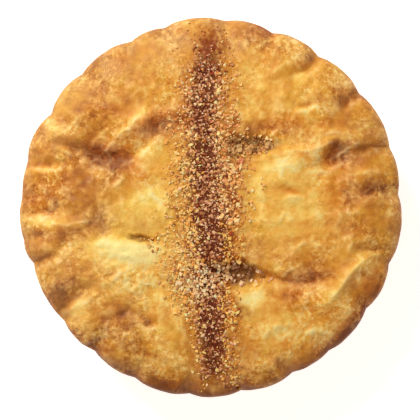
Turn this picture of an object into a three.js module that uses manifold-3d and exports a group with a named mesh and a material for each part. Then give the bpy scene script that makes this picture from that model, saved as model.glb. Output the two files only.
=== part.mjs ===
// A single-serve steak pie: a flat-bottomed pastry case with sloping walls, a puff pastry lid with a
// thumb-crimped rim, three steam vents, and a stripe of coarse seasoning baked on along the middle.
// Millimetres, +Z up. The origin is the middle of the flat underside, and the stripe runs along Y.
import * as THREE from "three";
import { mergeVertices } from "three/addons/utils/BufferGeometryUtils.js";
import Module from "manifold-3d";

const wasm = await Module();
wasm.setup();

// Driving dimensions of the half section
const PIE_RADIUS = 60; // rim of the lid, out to a typical lobe
const BASE_RADIUS = 44; // underside, out to the wall
const BASE_CORNER = 4; // rounding where the underside turns up into the wall
const WALL_LEAN = 1.5; // how far the wall has leant out by the top of that rounding
const WALL_RADIUS = 53.5; // wall of the case, just under the rim
const WALL_HEIGHT = 23; // height at which the rim starts to stand out from the wall
const RIM_HEIGHT = 27.5; // height of the rim's outermost line
const RIM_TOP_RADIUS = 56; // where the rim's rounded edge runs into the lid
const RIM_TOP_HEIGHT = 32.6;
const SHOULDER_RADIUS = 50; // the lid turns down towards the rim about here
const SHOULDER_HEIGHT = 36;
const PLATEAU_RADIUS = 36; // and is nearly level inside this
const CROWN_HEIGHT = 36.4; // middle of the lid, before its folds and vents

// How the rim's edge is rounded: from the outermost line up to the lid, and from it down to the wall
const EDGE_RISE = 2.5;
const EDGE_INSET = 1.4;
const EDGE_SINK = 1.5;
const LIP_DROP = 3.6;
const LIP_ROOT_OUT = 1;
const LIP_ROOT_UP = 1.6;

// Thumb presses round the rim
const CRIMP_DEPTH = 1.5; // how far a press sinks into the top of the rim
const CRIMP_WIDTH = 2.4;
const CRIMP_REACH = 11; // how far a press runs in from the edge
const CRIMP_FULL = 2; // how far in from the edge it is deepest
const LOBE_ROUNDNESS = 2.2; // 2 gives a parabola between two notches, more gives a flatter lobe

// Each crimp: direction of the press in degrees, radius in the notch, and radius of the lobe that follows it.
const CRIMPS = [
  [4, 59.4, 60.1],
  [18.5, 59.6, 60.4],
  [37.5, 59.2, 59.9],
  [54.5, 58.6, 59.7],
  [70.5, 58.5, 59.6],
  [85.5, 59.1, 59.9],
  [104.5, 58.6, 58.9],
  [115.5, 58.1, 59.3],
  [134, 58.4, 59.4],
  [149.5, 58.4, 60.2],
  [165.5, 59.7, 59.7],
  [177, 59.7, 60.2],
  [190, 59.9, 59.9],
  [197.5, 58.6, 59.2],
  [218, 58.5, 59.2],
  [231, 58.2, 59.2],
  [246, 58.8, 60],
  [263.5, 59.2, 59.8],
  [279.5, 58.5, 59.3],
  [296.5, 58.2, 58.9],
  [309.5, 58.6, 59.5],
  [327, 58.6, 59.8],
  [342.5, 59, 60.4],
];

// Broad swells and hollows of the lid: x, y, radius and height.
const PUFFS = [
  [-26.5, -16.5, 11, 1.3],
  [-24, 40, 14, 0.9],
  [-44, 27, 10, 0.9],
  [25, 9.5, 12, 1.4],
  [30, 36, 12, 1],
  [16, -32, 11, 1.1],
  [48, 2, 10, 1],
  [-16, -44, 12, 0.7],
  [-36, 17, 7, -1.8],
  [39, 16, 6, -1.6],
  [31, -21, 7, -1.2],
  [0, 0, 16, -0.6],
];

// Creases (negative height) and ridges (positive): height, half width, and the points they run through.
const FOLDS = [
  [1.6, 2.6, [[-31.5, 18], [-24.5, 23.8], [-22, 26.2], [-17, 28.4], [-10, 29.6]]],
  [-1.1, 2, [[-29.5, 14.6], [-24.5, 15.8], [-21.5, 18.4], [-18, 21.5]]],
  [-1.1, 2, [[-50, 20.6], [-43, 19], [-38, 16.4], [-32, 14.8]]],
  [0.7, 2.2, [[-51, 24.6], [-45, 22.6], [-39, 20.4]]],
  [-1, 2, [[-56, 13.8], [-51, 13.6], [-45, 14]]],
  [-1, 2, [[-57, -1.6], [-51, -1.6], [-44, -2]]],
  [0.8, 2.4, [[-57, -5.8], [-50, -6.2], [-41, -6.4]]],
  [0.8, 2.6, [[-37, -11.4], [-31, -11.6], [-25, -12.4], [-18, -14]]],
  [-0.8, 2.2, [[-37, -6.6], [-30, -7], [-24, -8.4], [-16, -9.6]]],
  [-1.2, 2.2, [[-55, -18], [-48.5, -14.8], [-43, -9.6]]],
  [-1.3, 2.6, [[-47, -33], [-44, -29.5], [-40, -26], [-36, -24.5]]],
  [-0.9, 2.2, [[-38, -45], [-35.5, -42], [-33, -39]]],
  [-1.3, 2.6, [[33.5, 46], [29.5, 42.4], [23, 40]]],
  [-1.1, 2.4, [[46, 34.8], [42.5, 31.8], [40, 28]]],
  [1.5, 2.4, [[20, 17.2], [28, 16.4], [34, 17.6], [38.5, 20.4], [45, 21.2]]],
  [-0.6, 2.2, [[56, 18.8], [49, 17.8], [43, 14.6], [35, 12.6]]],
  [-0.9, 2.4, [[57, 6], [50, 5.4], [44, 4]]],
  [-1, 2.2, [[56, -13.4], [49, -13.4], [44, -15.6]]],
  [1.4, 2.6, [[34, -29.4], [39, -25.6], [43.5, -20.4], [49, -16.8], [54, -15.4]]],
  [-1.4, 2.6, [[16, -21.4], [24, -23.4], [31, -23.8], [37, -22.6]]],
];
const FOLD_STEPS = 24; // straight steps along a fold's line
const FOLD_END = 0.08; // share of its height that is kept at its two ends
const FOLD_TAPER = 0.6; // below 1, a fold keeps its height for most of its length

// Steam vents, as slits in a direction given in degrees, with the share of its width that each loses
// towards its far end. Seasoning gathers in the wide ones.
const VENTS = [
  { x: 12.8, y: 19.2, degrees: 4, halfLength: 10, halfWidth: 3.8, taper: 0.4, depth: 2.6, grains: 12 },
  { x: -21.4, y: -9.7, degrees: -8, halfLength: 5.2, halfWidth: 1.1, taper: 0.4, depth: 2, grains: 0 },
  { x: 9.5, y: -21.1, degrees: -6, halfLength: 11.4, halfWidth: 4.4, taper: 0.65, depth: 4.6, grains: 8 },
];
const VENT_FLOOR = 0.35; // share of a vent's size that its floor takes up
const VENT_LIP = 1.25; // share of a vent's size at which the lid starts to dip into it

// Swells, folds and vents die out between these distances from the edge.
const RELIEF_FULL = 8;
const RELIEF_GONE = 1;

// Seasoning: the largest grains of the stripe, fused to the lid
const STRIPE_LENGTH = 104;
const STRIPE_MIDDLE = 0.5; // x of the stripe's middle line
const STRIPE_HALF_WIDTH = 10;
const STRIPE_NARROWING = 0.4; // share of that width lost at the stripe's two ends
const STRIPE_CROWDING = 0.65; // share of a grain's sideways place that is squared, to crowd the middle
const STRIPE_GRAINS = 78;
const GRAIN_RADIUS = 0.68;
const GRAIN_SPREAD = 0.17; // how far a grain's radius strays from that, either way
const GRAIN_RISE = 0.35; // share of a grain's radius by which its middle stands clear of the lid
const GRAIN_PRIMES = { along: 2, side: 3, size: 5, tilt: 7, turn: 11 }; // one steady sequence for each
const POOL_FILL = [0.85, 0.6]; // share of a vent's or heap's length and width that its grains lie in

// A heap of coarse grains on the stripe, beside the lower vent
const HEAP = { x: -3.5, y: -22.5, degrees: 0, halfLength: 11, halfWidth: 6, taper: 0, grains: 12 };

// Fineness of the facets: rows of them along each stretch of the half section, and corners round each row
const CORNER_ROWS = 2;
const WALL_ROWS = 3;
const LIP_ROWS = 4;
const EDGE_ROWS = 3;
const LID_ROWS = 26;
const CORNERS_PER_LOBE = 6;
const CORNER_SPACING = 2.4; // between neighbouring corners of the rings inside the rim
const LOBED_RADIUS = 50; // rings wider than this have their corners at the lobes
const LOBES_FADE_RADIUS = 25; // inside this, the lid's rings are true circles
const WELD_DISTANCE = 1e-4;

const PASTRY_GOLD = new THREE.Color(0.86, 0.62, 0.25);

const TURN = 2 * Math.PI;
const { clamp, degToRad, euclideanModulo, lerp, smoothstep } = THREE.MathUtils;

// Outline of the rim

// The lobe that lies in a direction: the crimps on either side of it and the share of the way between them.
function lobeAt(angle) {
  const first = degToRad(CRIMPS[0][0]);
  const turned = euclideanModulo(angle - first, TURN) + first;
  const rounding = 1e-9;
  const last = CRIMPS.findLastIndex(([degrees]) => degToRad(degrees) <= turned + rounding);
  const next = (last + 1) % CRIMPS.length;
  const start = degToRad(CRIMPS[last][0]);
  const end = degToRad(CRIMPS[next][0]) + (next === 0 ? TURN : 0);
  return { from: CRIMPS[last], to: CRIMPS[next], start, end, share: (turned - start) / (end - start) };
}

// Radius of the rim's outermost line: a rounded lobe between each two notches.
function rimRadius(angle) {
  const { from, to, share } = lobeAt(angle);
  const [, fromNotch, lobe] = from;
  const [, toNotch] = to;
  const bulge = lobe - (fromNotch + toNotch) / 2;
  return lerp(fromNotch, toNotch, share) + bulge * (1 - Math.abs(2 * share - 1) ** LOBE_ROUNDNESS);
}

// Relief of the lid

function total(items, heightOf) {
  return items.reduce((sum, item) => sum + heightOf(item), 0);
}

function puffs(x, y) {
  return total(PUFFS, ([px, py, radius, height]) => {
    const distance = Math.hypot(x - px, y - py);
    return height * Math.exp(-((distance / radius) ** 2));
  });
}

const FOLD_LINES = FOLDS.map(([height, halfWidth, points]) => {
  const curve = new THREE.SplineCurve(points.map(([x, y]) => new THREE.Vector2(x, y)));
  return { height, halfWidth, samples: curve.getPoints(FOLD_STEPS) };
});

// A fold is deepest along its line, and fades out across its width and towards its two ends.
function folds(x, y) {
  return total(FOLD_LINES, ({ height, halfWidth, samples }) => {
    const distances = samples.map((point) => Math.hypot(x - point.x, y - point.y));
    const nearest = Math.min(...distances);
    const along = distances.indexOf(nearest) / FOLD_STEPS;
    const taper = Math.sin(Math.PI * clamp(along, FOLD_END, 1 - FOLD_END)) ** FOLD_TAPER;
    return height * taper * Math.exp(-((nearest / halfWidth) ** 2));
  });
}

// A place in a vent's or heap's own directions from its middle, as x and y on the lid.
function placeAlong({ x, y, degrees }, along, across) {
  const cosine = Math.cos(degToRad(degrees));
  const sine = Math.sin(degToRad(degrees));
  return [x + along * cosine - across * sine, y + along * sine + across * cosine];
}

// Half width of a vent or heap at a distance along it: full up to its middle, then narrowing to its far end.
function halfWidthAt({ halfLength, halfWidth, taper }, along) {
  return halfWidth * (1 - taper * clamp(along / halfLength, 0, 1));
}

// How far out from a vent's middle a point lies: 1 on the edge of the slit.
function ventReach(vent, x, y) {
  const [along, across] = placeAlong({ x: 0, y: 0, degrees: -vent.degrees }, x - vent.x, y - vent.y);
  return Math.hypot(along / vent.halfLength, across / halfWidthAt(vent, along));
}

function vents(x, y) {
  return total(VENTS, (vent) => vent.depth * (smoothstep(ventReach(vent, x, y), VENT_FLOOR, VENT_LIP) - 1));
}

// Depth of the nearest thumb press at a point of the lid, from the edge inwards.
function crimps(angle, radius) {
  const { start, end } = lobeAt(angle);
  const turned = euclideanModulo(angle - start, TURN);
  const arc = Math.min(turned, end - start - turned) * radius;
  const press = smoothstep(radius, PIE_RADIUS - CRIMP_REACH, PIE_RADIUS - CRIMP_FULL);
  return -CRIMP_DEPTH * press * Math.exp(-((arc / CRIMP_WIDTH) ** 2));
}

function lidRelief(x, y) {
  const radius = Math.hypot(x, y);
  const inside = 1 - smoothstep(radius, PIE_RADIUS - RELIEF_FULL, PIE_RADIUS - RELIEF_GONE);
  return inside * (puffs(x, y) + folds(x, y) + vents(x, y)) + crimps(Math.atan2(y, x), radius);
}

// Body of the pie

// Half section from the middle of the underside, up the wall, round the rim and over the lid to its middle.
// Each point also says whether it lies on the lid, above the rim's outermost line.
function halfSection() {
  const at = (radius, height) => new THREE.Vector2(radius, height);
  const middle = at(0, 0);
  const cornerStart = at(BASE_RADIUS - BASE_CORNER, 0);
  const corner = at(BASE_RADIUS, 0);
  const wallFoot = at(BASE_RADIUS + WALL_LEAN, BASE_CORNER);
  const wallTop = at(WALL_RADIUS, WALL_HEIGHT);
  const lipRoot = at(WALL_RADIUS + LIP_ROOT_OUT, WALL_HEIGHT + LIP_ROOT_UP);
  const lipEdge = at(PIE_RADIUS, RIM_HEIGHT - LIP_DROP);
  const rim = at(PIE_RADIUS, RIM_HEIGHT);
  const rimEdge = at(PIE_RADIUS, RIM_HEIGHT + EDGE_RISE);
  const rimBend = at(PIE_RADIUS - EDGE_INSET, RIM_TOP_HEIGHT - EDGE_SINK);
  const rimTop = at(RIM_TOP_RADIUS, RIM_TOP_HEIGHT);
  const shoulder = at(SHOULDER_RADIUS, SHOULDER_HEIGHT);
  const plateau = at(PLATEAU_RADIUS, CROWN_HEIGHT);
  const crown = at(0, CROWN_HEIGHT);
  const belowRim = [
    new THREE.LineCurve(middle, cornerStart).getSpacedPoints(1),
    new THREE.QuadraticBezierCurve(cornerStart, corner, wallFoot).getSpacedPoints(CORNER_ROWS),
    new THREE.LineCurve(wallFoot, wallTop).getSpacedPoints(WALL_ROWS),
    new THREE.CubicBezierCurve(wallTop, lipRoot, lipEdge, rim).getSpacedPoints(LIP_ROWS),
  ];
  const overRim = [
    new THREE.CubicBezierCurve(rim, rimEdge, rimBend, rimTop).getSpacedPoints(EDGE_ROWS),
    new THREE.CubicBezierCurve(rimTop, shoulder, plateau, crown).getSpacedPoints(LID_ROWS),
  ];
  // Each curve starts where the one before it ended, so that its own last point is left to the next.
  const joined = (curves) => curves.flatMap((points) => points.slice(0, -1));
  return [
    ...joined(belowRim).map((point) => ({ radius: point.x, height: point.y, onLid: false })),
    ...joined(overRim).map((point) => ({ radius: point.x, height: point.y, onLid: true })),
    { radius: crown.x, height: crown.y, onLid: true },
  ];
}

// Directions of a ring's corners. Near the rim each lobe takes the same number, so that every notch has one.
function ringAngles(radius, followsLobes) {
  const steps = (start, end, count) => Array.from({ length: count }, (_, n) => lerp(start, end, n / count));
  if (followsLobes) {
    const lobes = CRIMPS.map(([degrees]) => lobeAt(degToRad(degrees)));
    return lobes.flatMap(({ start, end }) => steps(start, end, CORNERS_PER_LOBE));
  }
  const first = degToRad(CRIMPS[0][0]);
  return steps(first, first + TURN, Math.max(1, Math.round((TURN * radius) / CORNER_SPACING)));
}

// One ring of corners of the pie, with the rim's outline and the lid's relief worked in.
function ringCorners({ radius, height, onLid }) {
  const circlesUpTo = onLid ? LOBES_FADE_RADIUS : WALL_RADIUS - 1;
  const follow = smoothstep(radius, circlesUpTo, PIE_RADIUS);
  const followsLobes = radius > (onLid ? LOBED_RADIUS : WALL_RADIUS);
  return ringAngles(radius, followsLobes).map((angle) => {
    const shaped = radius * lerp(1, rimRadius(angle) / PIE_RADIUS, follow);
    const x = shaped * Math.cos(angle);
    const y = shaped * Math.sin(angle);
    return { angle, corner: [x, y, onLid ? height + lidRelief(x, y) : height] };
  });
}

// Triangles between two rings, stitched in order of direction. Either ring may be a single middle point.
function stitch(below, above, firstBelow, firstAbove) {
  const steps = (ring) => (ring.length === 1 ? 0 : ring.length);
  const angleOf = (ring, n) => (n === ring.length ? ring[0].angle + TURN : ring[n].angle);
  const belowCorner = (n) => firstBelow + (n % below.length);
  const aboveCorner = (n) => firstAbove + (n % above.length);
  const triangles = [];
  let a = 0;
  let b = 0;
  while (a < steps(below) || b < steps(above)) {
    const aboveDone = b === steps(above);
    const belowDone = a === steps(below);
    if (aboveDone || (!belowDone && angleOf(below, a + 1) <= angleOf(above, b + 1))) {
      triangles.push(belowCorner(a), belowCorner(a + 1), aboveCorner(b));
      a += 1;
    } else {
      triangles.push(belowCorner(a), aboveCorner(b + 1), aboveCorner(b));
      b += 1;
    }
  }
  return triangles;
}

// Closed skin over rings that run from one middle point to the other, each ring anticlockwise from above.
function skin(rings) {
  const triangles = [];
  let firstBelow = 0;
  rings.slice(1).forEach((above, i) => {
    const below = rings[i];
    const firstAbove = firstBelow + below.length;
    triangles.push(...stitch(below, above, firstBelow, firstAbove));
    firstBelow = firstAbove;
  });
  const corners = rings.flatMap((ring) => ring.flatMap(({ corner }) => corner));
  const geometry = new THREE.BufferGeometry();
  geometry.setAttribute("position", new THREE.Float32BufferAttribute(corners, 3));
  geometry.setIndex(triangles);
  return geometry;
}

const bodyGeometry = skin(halfSection().map(ringCorners));

// Seasoning

// The nth of a steady sequence of numbers from 0 to 1 that spreads evenly, one sequence for each prime base.
function spread(n, base) {
  let value = 0;
  let share = 1;
  for (let rest = n; rest > 0; rest = Math.floor(rest / base)) {
    share /= base;
    value += (rest % base) * share;
  }
  return value;
}

// The same from -1 to 1.
function spreadBothWays(n, base) {
  return 2 * spread(n, base) - 1;
}

// Grains lie thickest along the stripe's middle line, and the stripe narrows towards its two ends.
function stripePlace(n) {
  const along = spreadBothWays(n, GRAIN_PRIMES.along);
  const side = spreadBothWays(n, GRAIN_PRIMES.side);
  const crowded = side * lerp(1, Math.abs(side), STRIPE_CROWDING);
  const halfWidth = STRIPE_HALF_WIDTH * (1 - STRIPE_NARROWING * along ** 2);
  return [STRIPE_MIDDLE + halfWidth * crowded, (STRIPE_LENGTH / 2) * along];
}

// The nth grain of those that gather in a vent or a heap.
function pooledPlace(pool, n) {
  const [fillLength, fillWidth] = POOL_FILL;
  const along = fillLength * pool.halfLength * spreadBothWays(n, GRAIN_PRIMES.along);
  const across = fillWidth * halfWidthAt(pool, along) * spreadBothWays(n, GRAIN_PRIMES.side);
  return placeAlong(pool, along, across);
}

function grainPlaces() {
  const counted = (count, place) => Array.from({ length: count }, (_, n) => place(n + 1));
  return [
    ...counted(STRIPE_GRAINS, stripePlace),
    ...[...VENTS, HEAP].flatMap((pool) => counted(pool.grains, (n) => pooledPlace(pool, n))),
  ];
}

// The nth grain, turned its own way and sunk partly into the lid.
function grainGeometry(n, x, y, surface) {
  const radius = GRAIN_RADIUS + GRAIN_SPREAD * spreadBothWays(n, GRAIN_PRIMES.size);
  return new THREE.IcosahedronGeometry(radius, 0)
    .rotateX(TURN * spread(n, GRAIN_PRIMES.tilt))
    .rotateZ(TURN * spread(n, GRAIN_PRIMES.turn))
    .translate(x, y, surface + GRAIN_RISE * radius);
}

// Solids

function solidOf(geometry) {
  geometry.deleteAttribute("normal");
  geometry.deleteAttribute("uv");
  const merged = mergeVertices(geometry, WELD_DISTANCE);
  const vertProperties = merged.getAttribute("position").array;
  const triVerts = new Uint32Array(merged.index.array);
  return new wasm.Manifold(new wasm.Mesh({ numProp: 3, vertProperties, triVerts }));
}

function geometryOf(solid) {
  const mesh = solid.getMesh();
  const geometry = new THREE.BufferGeometry();
  geometry.setAttribute("position", new THREE.BufferAttribute(mesh.vertProperties, 3));
  geometry.setIndex(new THREE.BufferAttribute(mesh.triVerts, 1));
  geometry.computeVertexNormals();
  return geometry;
}

const bareBody = new THREE.Mesh(bodyGeometry);

// Height of the lid at a place, found on the facets that the grains sit on.
function lidHeight(x, y) {
  const above = new THREE.Vector3(x, y, 2 * CROWN_HEIGHT);
  const down = new THREE.Vector3(0, 0, -1);
  const [hit] = new THREE.Raycaster(above, down).intersectObject(bareBody);
  return hit.point.z;
}

const seasoned = grainPlaces().reduce((solid, [x, y], i) => {
  const grain = grainGeometry(i + 1, x, y, lidHeight(x, y));
  return solid.add(solidOf(grain));
}, solidOf(bodyGeometry));

const pastry = new THREE.MeshStandardMaterial({ color: PASTRY_GOLD, roughness: 0.55, metalness: 0 });
const pie = new THREE.Mesh(geometryOf(seasoned), pastry);
pie.name = "pie";

const steakPie = new THREE.Group();
steakPie.add(pie);

export default steakPie;
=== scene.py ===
"""Looks of a single-serve steak pie: a fine crust in the form of the plain solid, and its seasoning.

Places and sizes are millimetres in the pie's own frame: +Z up, the origin in the middle of the underside and
the seasoning stripe along Y. Meshes are scaled to metres when they are made.
"""

import math

import bpy
import numpy as np
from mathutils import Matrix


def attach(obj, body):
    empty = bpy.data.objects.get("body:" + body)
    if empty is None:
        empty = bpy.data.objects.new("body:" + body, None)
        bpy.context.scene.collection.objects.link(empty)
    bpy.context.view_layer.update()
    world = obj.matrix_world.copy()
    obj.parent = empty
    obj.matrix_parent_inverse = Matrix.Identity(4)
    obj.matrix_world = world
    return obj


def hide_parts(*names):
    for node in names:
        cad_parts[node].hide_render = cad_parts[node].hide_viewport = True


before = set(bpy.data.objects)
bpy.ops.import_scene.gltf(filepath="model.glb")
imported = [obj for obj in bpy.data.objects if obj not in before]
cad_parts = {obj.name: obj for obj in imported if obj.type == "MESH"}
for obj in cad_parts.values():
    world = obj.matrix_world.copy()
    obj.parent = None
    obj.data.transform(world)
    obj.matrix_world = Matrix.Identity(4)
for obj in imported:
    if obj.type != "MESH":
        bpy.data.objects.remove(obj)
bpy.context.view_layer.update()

METRES = 0.001
TURN = 2 * math.pi

# Half section of the pie
PIE_RADIUS = 60.0
BASE_RADIUS = 44.0
BASE_CORNER = 4.0
WALL_LEAN = 1.5
WALL_RADIUS = 53.5
WALL_HEIGHT = 23.0
RIM_HEIGHT = 27.5
RIM_TOP_RADIUS = 56.0
RIM_TOP_HEIGHT = 32.6
SHOULDER_RADIUS = 50.0
SHOULDER_HEIGHT = 36.0
PLATEAU_RADIUS = 36.0
CROWN_HEIGHT = 36.4
EDGE_RISE = 2.5
EDGE_INSET = 1.4
EDGE_SINK = 1.5
LIP_DROP = 3.6
LIP_ROOT_OUT = 1.0
LIP_ROOT_UP = 1.6
RIM_FALL_HEIGHT = 31.0  # the lid's rim turns down from here
LOBES_FADE_RADIUS = 25.0  # inside this, the lid's rings are true circles
CASE_FADE_RADIUS = WALL_RADIUS - 1  # and inside this, those of the case

# Thumb presses round the rim: direction in degrees, radius in the notch, radius of the lobe that follows it
CRIMPS = np.array([
    (4, 59.4, 60.1), (18.5, 59.6, 60.4), (37.5, 59.2, 59.9), (54.5, 58.6, 59.7), (70.5, 58.5, 59.6),
    (85.5, 59.1, 59.9), (104.5, 58.6, 58.9), (115.5, 58.1, 59.3), (134, 58.4, 59.4), (149.5, 58.4, 60.2),
    (165.5, 59.7, 59.7), (177, 59.7, 60.2), (190, 59.9, 59.9), (197.5, 58.6, 59.2), (218, 58.5, 59.2),
    (231, 58.2, 59.2), (246, 58.8, 60), (263.5, 59.2, 59.8), (279.5, 58.5, 59.3), (296.5, 58.2, 58.9),
    (309.5, 58.6, 59.5), (327, 58.6, 59.8), (342.5, 59, 60.4),
])
CRIMP_DEPTH = 1.5
CRIMP_WIDTH = 2.4
CRIMP_REACH = 11.0
CRIMP_FULL = 2.0
LOBE_ROUNDNESS = 2.2

# Broad swells and hollows of the lid: x, y, radius, height
PUFFS = [
    (-26.5, -16.5, 11, 1.3), (-24, 40, 14, 0.9), (-44, 27, 10, 0.9), (25, 9.5, 12, 1.4), (30, 36, 12, 1.0),
    (16, -32, 11, 1.1), (48, 2, 10, 1.0), (-16, -44, 12, 0.7), (-36, 17, 7, -1.8), (39, 16, 6, -1.6),
    (31, -21, 7, -1.2), (0, 0, 16, -0.6),
]

# Broad folds: height, half width, and the points they run through
FOLDS = [
    (1.6, 2.6, [(-31.5, 18), (-24.5, 23.8), (-22, 26.2), (-17, 28.4), (-10, 29.6)]),
    (-1.1, 2.0, [(-29.5, 14.6), (-24.5, 15.8), (-21.5, 18.4), (-18, 21.5)]),
    (-1.1, 2.0, [(-50, 20.6), (-43, 19), (-38, 16.4), (-32, 14.8)]),
    (0.7, 2.2, [(-51, 24.6), (-45, 22.6), (-39, 20.4)]),
    (-1.0, 2.0, [(-56, 13.8), (-51, 13.6), (-45, 14)]),
    (-1.0, 2.0, [(-57, -1.6), (-51, -1.6), (-44, -2)]),
    (0.8, 2.4, [(-57, -5.8), (-50, -6.2), (-41, -6.4)]),
    (0.8, 2.6, [(-37, -11.4), (-31, -11.6), (-25, -12.4), (-18, -14)]),
    (-0.8, 2.2, [(-37, -6.6), (-30, -7), (-24, -8.4), (-16, -9.6)]),
    (-1.2, 2.2, [(-55, -18), (-48.5, -14.8), (-43, -9.6)]),
    (-1.3, 2.6, [(-47, -33), (-44, -29.5), (-40, -26), (-36, -24.5)]),
    (-0.9, 2.2, [(-38, -45), (-35.5, -42), (-33, -39)]),
    (-1.3, 2.6, [(33.5, 46), (29.5, 42.4), (23, 40)]),
    (-1.1, 2.4, [(46, 34.8), (42.5, 31.8), (40, 28)]),
    (1.5, 2.4, [(20, 17.2), (28, 16.4), (34, 17.6), (38.5, 20.4), (45, 21.2)]),
    (-0.6, 2.2, [(56, 18.8), (49, 17.8), (43, 14.6), (35, 12.6)]),
    (-0.9, 2.4, [(57, 6), (50, 5.4), (44, 4)]),
    (-1.0, 2.2, [(56, -13.4), (49, -13.4), (44, -15.6)]),
    (1.4, 2.6, [(34, -29.4), (39, -25.6), (43.5, -20.4), (49, -16.8), (54, -15.4)]),
    (-1.4, 2.6, [(16, -21.4), (24, -23.4), (31, -23.8), (37, -22.6)]),
]
FOLD_END = 0.08
FOLD_TAPER = 0.6
FOLD_SHARPNESS = 2
LINE_REACH = 4  # half widths from its line, past which a fold or wrinkle is level

# Slits: x, y, direction in degrees, half length, half width, share of the width lost towards the far end
UPPER_SLIT = (12.8, 19.2, 4, 10.0, 3.8, 0.4)
LEFT_SLIT = (-21.4, -9.7, -8, 5.2, 1.1, 0.4)
LOWER_SLIT = (9.5, -21.1, -6, 11.4, 4.4, 0.65)
# Steam vents: slit, depth, large grains in it
VENTS = [(UPPER_SLIT, 2.6, 12), (LEFT_SLIT, 2.0, 0), (LOWER_SLIT, 4.6, 8)]
VENT_FLOOR = 0.35
VENT_LIP = 1.25
RELIEF_FULL = 8.0
RELIEF_GONE = 1.0

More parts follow.
